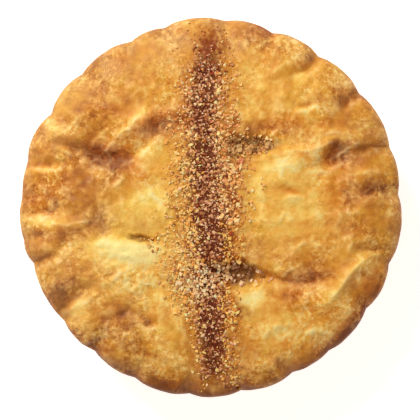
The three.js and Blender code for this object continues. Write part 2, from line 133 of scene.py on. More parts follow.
# Fine creases, torn edges and wrinkles on top of the folds: height, half width on the left and on the right
# of the line, how cream its edge is, and the points it runs through
# An edge's cream is partly pale torn layers, partly painted highlight on its lit crest
WRINKLES = [
    (0.9, 2.0, 0.7, 0.8,
     [(-32.4, 17.6), (-30.4, 20.2), (-28, 22.8), (-25.2, 24.6), (-23.4, 27), (-20.6, 29.6)]),
    (0.5, 0.8, 1.6, 0.8, [(-26.6, 14), (-23.4, 14.8), (-21.4, 16.4), (-19, 18.6), (-16.6, 20.4)]),
    (-0.5, 0.9, 1.0, 0,
     [(-49, 20), (-44, 19), (-40, 17), (-36, 15.2), (-32, 14.8), (-29.5, 16.6), (-28, 18.4)]),
    (0.4, 0.7, 0.7, 0.6, [(-49.4, 18.6), (-46.6, 18.2), (-44.6, 17.2), (-43, 15.4)]),
    (0.5, 0.7, 0.7, 0.6, [(-38, 7.8), (-36, 9.4), (-33.4, 9.6)]),
    (0.4, 0.6, 0.6, 0.5, [(-36.4, 12.4), (-33.2, 11.8), (-33, 10)]),
    (0.4, 0.6, 0.8, 0.6, [(-31.4, 6.8), (-29.2, 6.6), (-27.8, 8.8), (-26.4, 11.6)]),
    (0.3, 0.6, 0.8, 0.5, [(-28.4, 5.6), (-27.6, 2.6), (-27.4, 0.4)]),
    (-0.8, 1.0, 0.8, 0, [(-59, 13.9), (-53, 13.4), (-49, 13.2), (-45, 14.6)]),
    (0.4, 0.9, 1.6, 0.75, [(-57, 12.2), (-52, 12), (-48, 11.6), (-46, 12.8)]),
    (-0.8, 1.0, 0.8, 0, [(-59.5, -1.8), (-55, -1.9), (-50, -1.5), (-47.4, 0.8)]),
    (0.4, 0.8, 1.6, 0.75, [(-58.4, -3.4), (-53, -3.2), (-47.6, -3)]),
    (0.3, 0.6, 0.6, 0.6, [(-49.6, -0.8), (-48, 0.8), (-46.4, 2)]),
    (0.4, 0.8, 1.2, 0.6, [(-49, -5.2), (-44, -5.2), (-39, -4.4), (-36, -4.2)]),
    (-0.5, 1.0, 0.8, 0, [(-56, -17.6), (-50.5, -15.6), (-46.5, -14.8)]),
    (0.5, 0.8, 1.4, 0.7, [(-54, -19.2), (-50.4, -17.8), (-47.6, -17), (-45.4, -15)]),
    (0.4, 0.7, 0.9, 0.7, [(-46.6, -14.2), (-44.6, -12.6), (-42.2, -10.2)]),
    (0.6, 3.0, 4.0, 0.1, [(-36, -13), (-31, -14), (-25.5, -15.6), (-19.5, -17.6)]),
    (0.3, 0.6, 1.0, 0.5, [(-36.4, -19), (-36, -15), (-36, -12)]),
    (-0.8, 1.0, 0.8, 0, [(-32, -21.6), (-30.4, -20.8), (-28.4, -19)]),
    (0.5, 0.8, 1.2, 0.7, [(-30.8, -24.4), (-30.2, -22.2), (-28.6, -20.4), (-26.6, -19.6)]),
    (-0.8, 1.2, 0.9, 0, [(-49, -33.8), (-45.4, -31.2), (-42, -28.2), (-38, -25.4)]),
    (0.5, 0.8, 1.6, 0.6, [(-46, -33.4), (-42.6, -31), (-40, -29)]),
    (0.3, 0.6, 0.7, 0.6, [(-39.4, -29.6), (-37.4, -28.4), (-35.6, -27)]),
    (0.3, 0.6, 0.7, 0.6, [(-30.4, -27.4), (-28.6, -26), (-27, -24.6)]),
    (0.3, 0.6, 0.7, 0.5, [(-25.2, -27), (-23.8, -25.6), (-22.4, -24.2)]),
    (-0.7, 1.0, 0.8, 0, [(-39.6, -44.4), (-36.4, -42.4), (-33.4, -40.6)]),
    (-0.8, 1.2, 0.9, 0, [(-32, -34.2), (-28.4, -33.6), (-25, -32.4), (-22, -34), (-18.6, -36.4)]),
    (0.4, 0.7, 0.9, 0.6, [(-19.4, -39), (-18, -37.6), (-16.4, -37)]),
    (0.3, 0.5, 0.5, 0.5, [(-32.6, -39), (-32.4, -37), (-32, -35.4)]),
    (-0.6, 0.8, 0.9, 0, [(-27, 51), (-26.4, 49), (-27, 46.6)]),
    (0.3, 0.6, 0.8, 0.5, [(-25.6, 49.8), (-25.4, 47.2)]),
    (1.0, 2.4, 3.2, 0, [(18, 12.4), (24, 13), (31, 13.6)]),
    (0.4, 3.0, 3.4, 0, [(-34, -19), (-27, -20.4), (-19, -21.6)]),
    (0.7, 1.8, 0.7, 0.6,
     [(20.4, 15.6), (24, 17), (28, 17.6), (31.4, 17.9), (34.4, 18.9), (37, 20.6), (39, 22.2)]),
    (0.5, 1.2, 0.8, 0.6, [(34, 22.2), (38, 23.2), (41, 23), (44.6, 22.6)]),
    (0.5, 0.6, 0.6, 0.7, [(37.6, 15), (39.6, 16), (41.6, 17.4), (45, 19.6), (49, 20.2)]),
    (0.6, 0.7, 1.4, 0.7, [(32.2, 9.6), (34.2, 11.3), (36.6, 11), (39, 12.4), (41, 13.6)]),
    (0.6, 0.8, 1.4, 0.6, [(43, 10), (47, 11), (50.4, 11.4), (54, 10.6)]),
    (-0.6, 1.0, 0.7, 0, [(57, 19.6), (52, 19.2), (47.4, 18.4)]),
    (0.3, 0.6, 0.9, 0.6, [(47.6, 15.8), (50.6, 17.4), (55.4, 18.6)]),
    (-0.7, 1.4, 0.9, 0, [(58, 6), (51, 5), (46, 3.4)]),
    (0.4, 0.7, 1.2, 0.5, [(46.6, 0.6), (48.4, 2.2), (50.6, 4)]),
    (0.4, 0.7, 0.8, 0.7, [(42.6, -0.8), (44, -2.2), (45.6, -0.8)]),
    (-0.8, 0.8, 1.0, 0, [(58, -13.6), (51, -13.4), (46, -13.4)]),
    (0.9, 1.6, 0.9, 0.55,
     [(36.4, -30), (38.6, -27.2), (40.8, -24), (43.4, -20.6), (46, -17.8), (49, -15.8), (53, -14.8)]),
    (0.4, 0.8, 0.8, 0.6, [(44.4, -8.6), (43.4, -12), (42.2, -16.6)]),
    (-0.8, 1.4, 0.8, 0, [(17, -21.2), (23, -23), (29, -23.6), (36, -23)]),
    (0.4, 0.7, 1.4, 0.6, [(19.6, -23.6), (24, -24.4), (30, -24.8), (36, -24.6)]),
    (0.5, 0.7, 0.7, 0.75, [(20.4, -22.2), (22.6, -21.2), (24.6, -19.2), (28, -17.8)]),
    (0.5, 0.8, 0.8, 0.75, [(25, -14.8), (26.8, -12.4), (29, -11), (32, -9.8)]),
    (0.5, 0.8, 0.9, 0.6, [(28.8, -29.2), (30.4, -27.2), (32.6, -25.4)]),
    (0.5, 1.2, 1.2, 0.1, [(16.6, -41), (18.4, -38), (21.2, -36.6), (26, -36.4)]),
    (0.4, 0.8, 0.8, 0.6, [(28, -39), (32, -38.6), (35, -38.8), (38, -39.6)]),
    (-0.5, 0.8, 0.8, 0, [(19.5, -48), (21.5, -48.6), (24, -50.4)]),
    (-0.6, 1.2, 1.0, 0, [(20.5, 5.8), (25, 5.2), (29, 4)]),
    (0.4, 0.7, 1.0, 0.5, [(23.4, 2.8), (26, 3.4), (28.4, 2.6)]),
    (-0.9, 0.9, 1.1, 0, [(34.4, 47), (30.6, 43.6), (26, 41.6)]),
    (0.4, 0.8, 1.2, 0.6, [(28.4, 39.8), (31.6, 42), (33.8, 44.6)]),
    (-0.5, 0.9, 1.1, 0, [(46.6, 35.6), (43.6, 33), (41, 30)]),
    (0.4, 0.7, 1.2, 0.6, [(42.6, 30), (44.8, 32.4), (47.4, 34.4)]),
    (-1.0, 1.4, 0.8, 0, [(26.5, 31), (29.4, 31.2), (32.4, 32.2)]),
    (0.4, 0.7, 1.4, 0.7, [(26.8, 29.4), (29.6, 30.4), (33, 31.6)]),
    (0.15, 0.8, 3.2, 0.6, [(7, -27), (11, -27.2), (15, -26.4), (19, -24.2)]),
]
WRINKLE_GAIN = 1.25
WRINKLE_SHARPNESS = 1.15  # 2 rounds a wrinkle's crest, less makes it a sharper edge
CREAM_EDGE_WIDTH = 0.62
CREAM_EDGE_SHARPNESS = 1.6
CREAM_EDGE_SHARE = 0.5  # of an edge that is cream, on average
CREAM_EDGE_LIMIT = 1.2

# Relief of the pastry's own surface. Limits are the values of a random field from which a form starts to show
# and at which it is whole
SWELL_HEIGHT = 0.36
SWELL_SIZE = 9
SWELL_SEED = 11
BLISTER_HEIGHT = 0.3
BLISTER_LEVEL = 0.6  # sum of the blisters' fields where the lid is level
FLAKE_HEIGHT = 0.12
FLAKE_LIMITS = (0.0, 0.7)
STREAK_HEIGHT = 0.2
STREAK_DIRECTION = 40
STREAK_SIZE = (4.5, 1.9)  # length and spacing of the streaks
STREAK_SEED = 38
STREAKED_LEFT = (8, 30)  # the streaks set in between these distances to the left of the middle
STREAKED_BELOW = (0, 18)  # and between these below it
EDGE_HEIGHT = 0.22  # of the flakes' torn edges
EDGE_WIDTH = 0.8
EDGE_SHARPNESS = 1.5
EDGE_NETS = [(11, 131), (8, 141), (6, 151)]  # size and seed of each net of torn edges
EDGE_STRETCH = 6  # size of the stretches in which they show
EDGE_LIMITS = (0.1, 0.5)
STROKE_HEIGHT = 0.14
STROKE_DIRECTIONS = (20, 65, 110, 155)
STROKE_SIZE = (3.0, 1.9)  # length and spacing of the strokes
STROKE_WIDTH = 0.36  # share of their spacing that they take up
STROKE_SEED = 230
STROKE_CLUSTER = 9  # size of the clusters in which they lie
STROKE_CLUSTER_SEED = 240
STROKE_LIMITS = (0.0, 0.4)
CLUSTER_LIMITS = (-0.7, 0.5)  # for the clusters of flakes
SMOOTHED_SHARE = 0.9  # of the flakes, missing in the middle of a smooth place
LEAST_FLAKINESS = 0.1
WRINKLES_FULL = 3.0  # distance from the edge where wrinkles and flakes reach their full height

# Places where the lid has baked smooth: x, y, half length, half width, direction in degrees, how smooth
SMOOTH_PLACES = [
    (23, 2, 14, 16, 0, 1), (-22, -4, 11, 8, 0, 1), (-26, -14, 9, 4, 0, 1), (16, -33, 9, 7, 0, 1),
    (18, 36, 9, 7, 0, 1), (-22, 42, 8, 6, 0, 1),
]
# Places where it has not torn, in the same form
UNTORN_PLACES = [(-46.5, -25.5, 6, 5, 0, 1)]

# Random fields of the relief, as rows of strength, size of the bumps and seed. A drift has rows for the shift
# along X and rows for the shift along Y
WRINKLE_DRIFT = [(0.45, 3.5, 41), (0.2, 1.3, 42)], [(0.45, 3.5, 43), (0.2, 1.3, 44)]
VENT_DRIFT = [(0.7, 2.6, 45)], [(0.5, 2.6, 46)]
EDGE_DRIFT = [(1.2, 3, 24)], [(1.2, 3, 25)]
BLISTER_DRIFT = [(0.8, 4, 34)], [(0.8, 4, 35)]
STROKE_DRIFT = [(0.9, 3.5, 261)], [(0.9, 3.5, 262)]
FLAKE_DRIFT = [(0.5, 1.7, 26)], [(0.5, 1.7, 27)]
CREAM_FLECKS = [(1.2, 1.6, 47)]
BLISTERS = [(2, 6.5, 31), (0.6, 3.2, 32)]
FLAKES = [(1, 2.4, 28), (0.8, 1.2, 29)]
FLAKE_CLUSTERS = [(1, 9, 30)]
ROUGHNESS = [(0.14, 1.9, 36), (0.12, 1.0, 37)]

# Unevenness of the case
LAYER_THICKNESS = 1.1  # of the layers that show round the lid's edge
LAYER_DEPTH = 0.32
LAYER_LEVEL = 0.6
LAYER_STARTS = (WALL_HEIGHT, WALL_HEIGHT + 2)  # they set in between these heights
LAYER_ENDS = (30, 31.5)  # end between these
LAYER_RADII = (55, 57)  # and set in between these radii
LAYER_LIMITS = (-0.6, 0.4)
LAYER_WAVES = [(0.5, 9, 51), (0.25, 3, 52)]
LAYER_BREAKS = [(1, 5, 53)]
WAVES_SQUEEZE = (1, 1, 0.2)  # the waves run round the pie
BREAKS_SQUEEZE = (1, 1, 1.6)
WALL_BLISTER_HEIGHT = 0.3
WALL_BLISTER_SIZE = 9
WALL_BLISTER_SEED = 54
BLISTER_STARTS = (0.5, 3)  # the wall's blisters set in between these heights
BLISTER_ENDS = (WALL_HEIGHT, WALL_HEIGHT + 4)  # and end between these
WALL_ROUGHNESS = [(0.1, 2, 55)]

# Fineness of the crust's mesh
LID_CELLS = 264  # cells along each side of the lid's grid
RIM_ROWS = 9
WALL_ROWS = 12
CORNER_ROWS = 4
UNDERSIDE_ROWS = 3
SECTION_STEPS = 2000  # along the lid's half section
TINY = 1e-6  # in place of a distance of 0 that is divided by
TINY_ANGLE = 1e-9  # keeps a point that lies in a notch on one side of it


def smoothstep(value, low, high):
    """0 where a value is below low, 1 where it is above high, with a soft passage between."""
    share = np.clip((value - low) / (high - low), 0, 1)
    return share * share * (3 - 2 * share)


def lerp(start, end, share):
    return start + (end - start) * share


# Places and random fields

NOISE_TABLE = 256
NOISE_GAIN = 1.5


def noise(points, size, seed):
    """A smooth field from about -1 to 1 over points in space, with bumps about size across."""
    rng = np.random.default_rng(seed)
    order = rng.permutation(NOISE_TABLE)
    slopes = rng.normal(size=(NOISE_TABLE, 3))
    slopes /= np.linalg.norm(slopes, axis=1, keepdims=True)
    place = np.asarray(points, float) / size
    cell = np.floor(place).astype(int)
    inside = place - cell
    fade = inside ** 3 * (inside * (inside * 6 - 15) + 10)

    def corner(i, j, k):
        index = order[(cell[:, 0] + i) % NOISE_TABLE]
        index = order[(index + cell[:, 1] + j) % NOISE_TABLE]
        index = order[(index + cell[:, 2] + k) % NOISE_TABLE]
        return np.sum(slopes[index] * (inside - (i, j, k)), axis=1)

    def edge(j, k):
        return lerp(corner(0, j, k), corner(1, j, k), fade[:, 0])

    def face(k):
        return lerp(edge(0, k), edge(1, k), fade[:, 1])

    return NOISE_GAIN * lerp(face(0), face(1), fade[:, 2])


def layered_noise(points, size, seed, layers=3):
    """Noise with finer layers added, each half the size and half the strength of the one before."""
    return sum(noise(points, size / 2 ** n, seed + n) / 2 ** n for n in range(layers))


def mottling(points, fields):
    """Sum of random fields, each with its own strength, size of bumps and seed."""
    return sum(strength * noise(points, size, seed) for strength, size, seed in fields)


def flat(x, y):
    """Points of the lid's plan as points in space, for the random fields."""
    return np.column_stack([x, y, np.zeros_like(x)])


def draped(points):
    """Points of the pie for the random fields: level all over the lid, and running on down its rim."""
    return np.column_stack([points[:, 0], points[:, 1], np.minimum(points[:, 2] - RIM_FALL_HEIGHT, 0)])


def drifted(x, y, drift, points=None):
    """Places of the plan shifted a little, so that edges drawn over them wander as torn pastry does."""
    if points is None:
        points = flat(x, y)
    return x + mottling(points, drift[0]), y + mottling(points, drift[1])


def along_and_across(x, y, degrees):
    """Distances along and across a direction."""
    cosine, sine = math.cos(math.radians(degrees)), math.sin(math.radians(degrees))
    return x * cosine + y * sine, y * cosine - x * sine


def spots(x, y, places):
    """Sum of soft spots, each with a place, half length, half width, direction in degrees and strength."""
    total = np.zeros_like(x)
    for px, py, half_length, half_width, degrees, strength in places:
        along, across = along_and_across(x - px, y - py, degrees)
        total += strength * np.exp(-((along / half_length) ** 2 + (across / half_width) ** 2))
    return total


# Rim outline and half section

def lobe_at(angle):
    """For each direction, the rows of the crimps beside it, the arc between them and its share of it."""
    starts = np.radians(CRIMPS[:, 0])
    turned = (angle - starts[0]) % TURN + starts[0]
    last = np.searchsorted(starts, turned + TINY_ANGLE, side="right") - 1
    following = (last + 1) % len(CRIMPS)
    arc = (starts[following] - starts[last]) % TURN
    return last, following, arc, (turned - starts[last]) / arc


def rim_radius(angle):
    """Radius of the rim's outermost line: a rounded lobe between each two notches."""
    last, following, _, share = lobe_at(angle)
    notch = lerp(CRIMPS[last, 1], CRIMPS[following, 1], share)
    bulge = CRIMPS[last, 2] - (CRIMPS[last, 1] + CRIMPS[following, 1]) / 2
    return notch + bulge * (1 - np.abs(2 * share - 1) ** LOBE_ROUNDNESS)


def bezier(corners, count=200):
    """Points along a Bezier curve with the given corners."""
    share = np.linspace(0, 1, count)[:, None]
    points = [np.broadcast_to(np.array(corner, float), (count, 2)) for corner in corners]
    while len(points) > 1:
        points = [lerp(a, b, share) for a, b in zip(points, points[1:])]
    return points[0]


def spaced(points, count):
    """count + 1 points at even distances along a line of points."""
    steps = np.linalg.norm(np.diff(points, axis=0), axis=1)
    along = np.concatenate([[0], np.cumsum(steps)])
    places = np.linspace(0, along[-1], count + 1)
    return np.column_stack([np.interp(places, along, points[:, axis]) for axis in (0, 1)])


def lid_section():
    """Half section of the lid as radius and height, from its crown out to the rim's outermost line."""
    top = bezier([(0, CROWN_HEIGHT), (PLATEAU_RADIUS, CROWN_HEIGHT), (SHOULDER_RADIUS, SHOULDER_HEIGHT),
                  (RIM_TOP_RADIUS, RIM_TOP_HEIGHT)])
    edge = bezier([(RIM_TOP_RADIUS, RIM_TOP_HEIGHT), (PIE_RADIUS - EDGE_INSET, RIM_TOP_HEIGHT - EDGE_SINK),
                   (PIE_RADIUS, RIM_HEIGHT + EDGE_RISE), (PIE_RADIUS, RIM_HEIGHT)])
    return np.vstack([top, edge[1:]])


def case_section():
    """Half section of the case, from the rim's outermost line down the wall to the underside's middle."""
    lip = bezier([(PIE_RADIUS, RIM_HEIGHT), (PIE_RADIUS, RIM_HEIGHT - LIP_DROP),
                  (WALL_RADIUS + LIP_ROOT_OUT, WALL_HEIGHT + LIP_ROOT_UP), (WALL_RADIUS, WALL_HEIGHT)])
    wall = bezier([(WALL_RADIUS, WALL_HEIGHT), (BASE_RADIUS + WALL_LEAN, BASE_CORNER)])
    corner = bezier([(BASE_RADIUS + WALL_LEAN, BASE_CORNER), (BASE_RADIUS, 0),
                     (BASE_RADIUS - BASE_CORNER, 0)])
    underside = bezier([(BASE_RADIUS - BASE_CORNER, 0), (0, 0)])
    rows = [spaced(lip, RIM_ROWS), spaced(wall, WALL_ROWS)[1:], spaced(corner, CORNER_ROWS)[1:],
            spaced(underside, UNDERSIDE_ROWS)[1:]]
    return np.vstack(rows)


LID_SECTION = lid_section()


# Relief of the lid

def curve_through(points, steps=12):
    """A smooth line through the points, by the same rule at every point as a Catmull-Rom spline."""
    points = np.array(points, float)
    ends = np.vstack([2 * points[0] - points[1], points, 2 * points[-1] - points[-2]])
    share = np.linspace(0, 1, steps, endpoint=False)[:, None]
    spans = []
    for before, start, end, after in zip(ends, ends[1:], ends[2:], ends[3:]):
        bend = 2 * before - 5 * start + 4 * end - after
        twist = 3 * (start - end) + after - before
        spans.append(start + 0.5 * share * (end - before + share * (bend + share * twist)))
    return np.vstack([*spans, points[-1:]])


def beside_line(x, y, points, reach):
    """For points near a line: their distance from it, whether they are on its left, how far along it."""
    line = curve_through(points)
    low = line.min(axis=0) - reach
    high = line.max(axis=0) + reach
    near = np.flatnonzero((x > low[0]) & (x < high[0]) & (y > low[1]) & (y < high[1]))
    across = x[near, None] - line[:, 0]
    up = y[near, None] - line[:, 1]
    distances = np.hypot(across, up)
    nearest = np.argmin(distances, axis=1)
    pick = (np.arange(len(near)), nearest)
    heading = np.gradient(line, axis=0)[nearest]
    on_left = heading[:, 0] * up[pick] - heading[:, 1] * across[pick] > 0
    return near, distances[pick], on_left, nearest / (len(line) - 1)


def line_height(x, y, height, left, right, points, sharpness):
    """Height of a fold or wrinkle: greatest along its line, fading across its width and towards its ends."""
    near, distance, on_left, along = beside_line(x, y, points, LINE_REACH * max(left, right))
    taper = np.sin(math.pi * np.clip(along, FOLD_END, 1 - FOLD_END)) ** FOLD_TAPER
    width = np.where(on_left, left, right)
    result = np.zeros_like(x)
    result[near] = height * taper * np.exp(-((distance / width) ** sharpness))
    return result


def puffs(x, y):
    return sum(h * np.exp(-((x - px) ** 2 + (y - py) ** 2) / r ** 2) for px, py, r, h in PUFFS)


def folds(x, y):
    return sum(
        line_height(x, y, height, width, width, points, FOLD_SHARPNESS) for height, width, points in FOLDS
    )


def wrinkles(x, y):
    places = drifted(x, y, WRINKLE_DRIFT)
    return sum(
        line_height(*places, WRINKLE_GAIN * height, left, right, points, WRINKLE_SHARPNESS)
        for height, left, right, _, points in WRINKLES
    )


def cream_edges(x, y):
    """The cream edges of the wrinkles, broken into flecks, from 0 to 1: pale torn layers with painted
    highlight on lit crests.
    """
    places = drifted(x, y, WRINKLE_DRIFT)
    width = CREAM_EDGE_WIDTH
    edges = np.zeros_like(x)
    for _, _, _, cream_share, points in WRINKLES:
        if cream_share > 0:
            line = line_height(*places, cream_share, width, width, points, CREAM_EDGE_SHARPNESS)
            edges = np.maximum(edges, line)
    flecks = CREAM_EDGE_SHARE + mottling(flat(x, y), CREAM_FLECKS)
    return edges * np.clip(flecks, 0, CREAM_EDGE_LIMIT)


def half_width_at(slit, along):
    """Half width at a distance along a slit or heap: full up to its middle, then narrowing to its far end."""
    _, _, _, half_length, half_width, taper = slit
    return half_width * (1 - taper * np.clip(along / half_length, 0, 1))


def slit_reach(slit, x, y):
    """How far out from a slit's middle a point lies: 1 on its edge."""
    middle_x, middle_y, degrees, half_length = slit[:4]
    along, across = along_and_across(x - middle_x, y - middle_y, degrees)
    return np.hypot(along / half_length, across / half_width_at(slit, along))


def vents(x, y):
    """Depth of the vents, with torn edges that wander a little."""
    places = drifted(x, y, VENT_DRIFT)
    return sum(
        depth * (smoothstep(slit_reach(slit, *places), VENT_FLOOR, VENT_LIP) - 1) for slit, depth, _ in VENTS
    )


def crimps(x, y):
    """Depth of the nearest thumb press, from the edge inwards."""
    radius = np.hypot(x, y)
    _, _, arc, share = lobe_at(np.arctan2(y, x))
    distance = np.minimum(share, 1 - share) * arc * radius
    press = smoothstep(radius, PIE_RADIUS - CRIMP_REACH, PIE_RADIUS - CRIMP_FULL)
    return -CRIMP_DEPTH * press * np.exp(-((distance / CRIMP_WIDTH) ** 2))


def stretched(x, y, degrees, long, short):
    """Points of the plan, turned and squeezed, so that a field over them has streaks along a direction."""
    along, across = along_and_across(x, y, degrees)
    return flat(along / long, across / short)


def torn_edges(x, y):
    """Thin raised edges where the top layer has torn into flakes: broken lines, from 0 to 1."""
    places = flat(*drifted(x, y, EDGE_DRIFT))
    edges = np.zeros_like(x)
    for size, seed in EDGE_NETS:
        line = np.exp(-((np.abs(noise(places, size, seed)) * size / EDGE_WIDTH) ** EDGE_SHARPNESS))
        stretch = smoothstep(noise(flat(x, y), EDGE_STRETCH, seed + 1), *EDGE_LIMITS)
        edges = np.maximum(edges, line * stretch)
    return edges * (1 - np.clip(spots(x, y, UNTORN_PLACES), 0, 1))


def blisters(x, y):
    """Rounded blisters with creases between them, from about -1 to 1."""
    places = flat(*drifted(x, y, BLISTER_DRIFT))
    domes = sum(height * np.abs(noise(places, size, seed)) for height, size, seed in BLISTERS)
    return domes - BLISTER_LEVEL


def flakiness(x, y):
    """How much of the top layer has broken into flakes: least in the smooth places."""
    smooth = np.clip(spots(x, y, SMOOTH_PLACES), 0, 1)
    clusters = smoothstep(mottling(flat(x, y), FLAKE_CLUSTERS), *CLUSTER_LIMITS)
    return clusters * (1 - SMOOTHED_SHARE * smooth) + LEAST_FLAKINESS


def strokes(x, y):
    """Feathery strokes where thin layers have lifted, lying side by side in clusters, from 0 to 1."""
    places = drifted(x, y, STROKE_DRIFT)
    total = np.zeros_like(x)
    for n, degrees in enumerate(STROKE_DIRECTIONS):
        ripples = noise(stretched(*places, degrees, *STROKE_SIZE), 1, STROKE_SEED + n)
        here = smoothstep(noise(flat(x, y), STROKE_CLUSTER, STROKE_CLUSTER_SEED + n), *STROKE_LIMITS)
        total = np.maximum(total, np.clip(1 - np.abs(ripples) / STROKE_WIDTH, 0, 1) * here)
    return total * flakiness(x, y)


def flakes(x, y):
    """Small ragged flakes of the top layer that stand up, from 0 to 1."""
    places = flat(*drifted(x, y, FLAKE_DRIFT))
    return smoothstep(mottling(places, FLAKES), *FLAKE_LIMITS) * flakiness(x, y)


def streaks(x, y):
    """Slanting streaks of lifted layers over the lower left of the lid, from -1 to 1."""
    ripples = 1 - 2 * np.abs(noise(stretched(x, y, STREAK_DIRECTION, *STREAK_SIZE), 1, STREAK_SEED))
    lower_left = smoothstep(-x, *STREAKED_LEFT) * smoothstep(-y, *STREAKED_BELOW) * flakiness(x, y)
    return lower_left * ripples


SURFACE_FORMS = [
    (EDGE_HEIGHT, torn_edges), (FLAKE_HEIGHT, flakes), (STREAK_HEIGHT, streaks), (STROKE_HEIGHT, strokes),
    (BLISTER_HEIGHT, blisters),
]


def pastry_surface(x, y):
    """Puff pastry's own surface: soft swells, a fine roughness and the small forms above."""
    plan = flat(x, y)
    rough = flakiness(x, y) * mottling(plan, ROUGHNESS)
    forms = sum(height * form(x, y) for height, form in SURFACE_FORMS)
    return SWELL_HEIGHT * layered_noise(plan, SWELL_SIZE, SWELL_SEED) + forms + rough


def lid_relief(x, y):
    radius = np.hypot(x, y)
    inside = 1 - smoothstep(radius, PIE_RADIUS - RELIEF_FULL, PIE_RADIUS - RELIEF_GONE)
    edge = 1 - smoothstep(radius, PIE_RADIUS - WRINKLES_FULL, PIE_RADIUS)
    broad = inside * (puffs(x, y) + folds(x, y) + vents(x, y)) + crimps(x, y)
    return broad + edge * (wrinkles(x, y) + pastry_surface(x, y))


def lobed(radius, angle, circles_up_to):
    """A ring's radius with the rim's lobes worked in."""
    follow = smoothstep(radius, circles_up_to, PIE_RADIUS)
    return radius * lerp(1, rim_radius(angle) / PIE_RADIUS, follow)


def lid_height(x, y):
    """Height of the lid's surface over places in its plan."""
    shaped = np.hypot(x, y)
    radius = shaped / (lobed(shaped, np.arctan2(y, x), LOBES_FADE_RADIUS) / np.maximum(shaped, TINY))
    return np.interp(radius, LID_SECTION[:, 0], LID_SECTION[:, 1]) + lid_relief(x, y)


# Crust mesh

def lid_grid():
    """A square grid of places laid over a disc: how far out each is, from 0 to 1, and its direction."""
    steps = np.linspace(-1, 1, LID_CELLS + 1)
    a, b = (grid.ravel() for grid in np.meshgrid(steps, steps, indexing="ij"))
    wide = np.abs(a) >= np.abs(b)
    safe_a = np.where(a == 0, 1, a)
    safe_b = np.where(b == 0, 1, b)
    far = np.where(wide, a, b)
    angle = np.where(wide, math.pi / 4 * b / safe_a, math.pi / 2 - math.pi / 4 * a / safe_b)
    return np.abs(far), np.where(far < 0, angle + math.pi, angle)


def grid_faces():
    side = LID_CELLS + 1
    corner = (np.arange(LID_CELLS)[:, None] * side + np.arange(LID_CELLS)).ravel()
    return np.column_stack([corner, corner + side, corner + side + 1, corner + 1])


def grid_border():
    """Numbers of the grid's outermost places, in order round the disc."""
    side = LID_CELLS + 1
    step = np.arange(LID_CELLS)
    right = LID_CELLS * side + step
    top = (LID_CELLS - step) * side + LID_CELLS
    left = LID_CELLS - step
    bottom = step * side
    return np.concatenate([right, top, left, bottom])


def lid_points():
    far, angle = lid_grid()
    section = spaced(LID_SECTION, SECTION_STEPS)
    shares = np.linspace(0, 1, len(section))
    radius = np.interp(far, shares, section[:, 0])
    height = np.interp(far, shares, section[:, 1])
    shaped = lobed(radius, angle, LOBES_FADE_RADIUS)
    x = shaped * np.cos(angle)
    y = shaped * np.sin(angle)
    return np.column_stack([x, y, height + lid_relief(x, y)]), angle


def case_points(angle):
    """Rows of points below the rim, in the directions of the lid's border, and the underside's middle."""
    rows = []
    for radius, height in case_section()[1:-1]:
        shaped = lobed(np.full_like(angle, radius), angle, CASE_FADE_RADIUS)
        level = np.full_like(angle, height)
        rows.append(np.column_stack([shaped * np.cos(angle), shaped * np.sin(angle), level]))
    return np.vstack([*rows, [(0, 0, 0)]])


def case_faces(border, first):
    """Faces from the lid's border down through the rows of the case to the middle of the underside."""
    around = len(border)
    rows = RIM_ROWS + WALL_ROWS + CORNER_ROWS + UNDERSIDE_ROWS - 1
    rings = np.vstack([border, first + np.arange(rows * around).reshape(rows, around)])
    upper, lower = rings[:-1], rings[1:]
    quads = np.stack([upper, lower, np.roll(lower, -1, axis=1), np.roll(upper, -1, axis=1)], axis=-1)
    middle = first + rows * around
    last = rings[-1]
    fan = [(int(a), middle, int(b)) for a, b in zip(last, np.roll(last, -1))]
    return quads.reshape(-1, 4), fan


def case_relief(points):
    """Unevenness of the case: thin layers round the lid's edge, blisters on the wall, a flat underside."""
    x, y, height = points.T
    radius = np.hypot(x, y)
    outward = flat(x, y) / np.maximum(radius, TINY)[:, None]
    on_edge = smoothstep(height, *LAYER_STARTS) * (1 - smoothstep(height, *LAYER_ENDS))
    on_edge = on_edge * smoothstep(radius, *LAYER_RADII)
    wavy = height + mottling(points * WAVES_SQUEEZE, LAYER_WAVES)
    layers = np.abs(np.sin(math.pi * wavy / LAYER_THICKNESS)) - LAYER_LEVEL
    ragged = smoothstep(mottling(points * BREAKS_SQUEEZE, LAYER_BREAKS), *LAYER_LIMITS)
    on_wall = smoothstep(height, *BLISTER_STARTS) * (1 - smoothstep(height, *BLISTER_ENDS))
    blistered = WALL_BLISTER_HEIGHT * layered_noise(points, WALL_BLISTER_SIZE, WALL_BLISTER_SEED)
    blistered = blistered + mottling(points, WALL_ROUGHNESS)
    push = on_edge * (LAYER_DEPTH * layers * ragged) + on_wall * blistered
    return points + outward * push[:, None]


def add_object(name, data):
    """A new object in the scene."""
    made = bpy.data.objects.new(name, data)
    bpy.context.scene.collection.objects.link(made)
    return made


def mesh_object(name, points, faces):
    """A new object from points in millimetres and faces, shaded smooth."""
    mesh = bpy.data.meshes.new(name)
    mesh.from_pydata((points * METRES).tolist(), [], faces)
    mesh.validate()
    mesh.shade_smooth()
    return add_object(name, mesh)


def set_field(made, name, values):
    """Stores a number for each vertex, which the material reads by name."""
    field = made.data.attributes.new(name, "FLOAT", "POINT")
    field.data.foreach_set("value", np.asarray(values, np.float32))
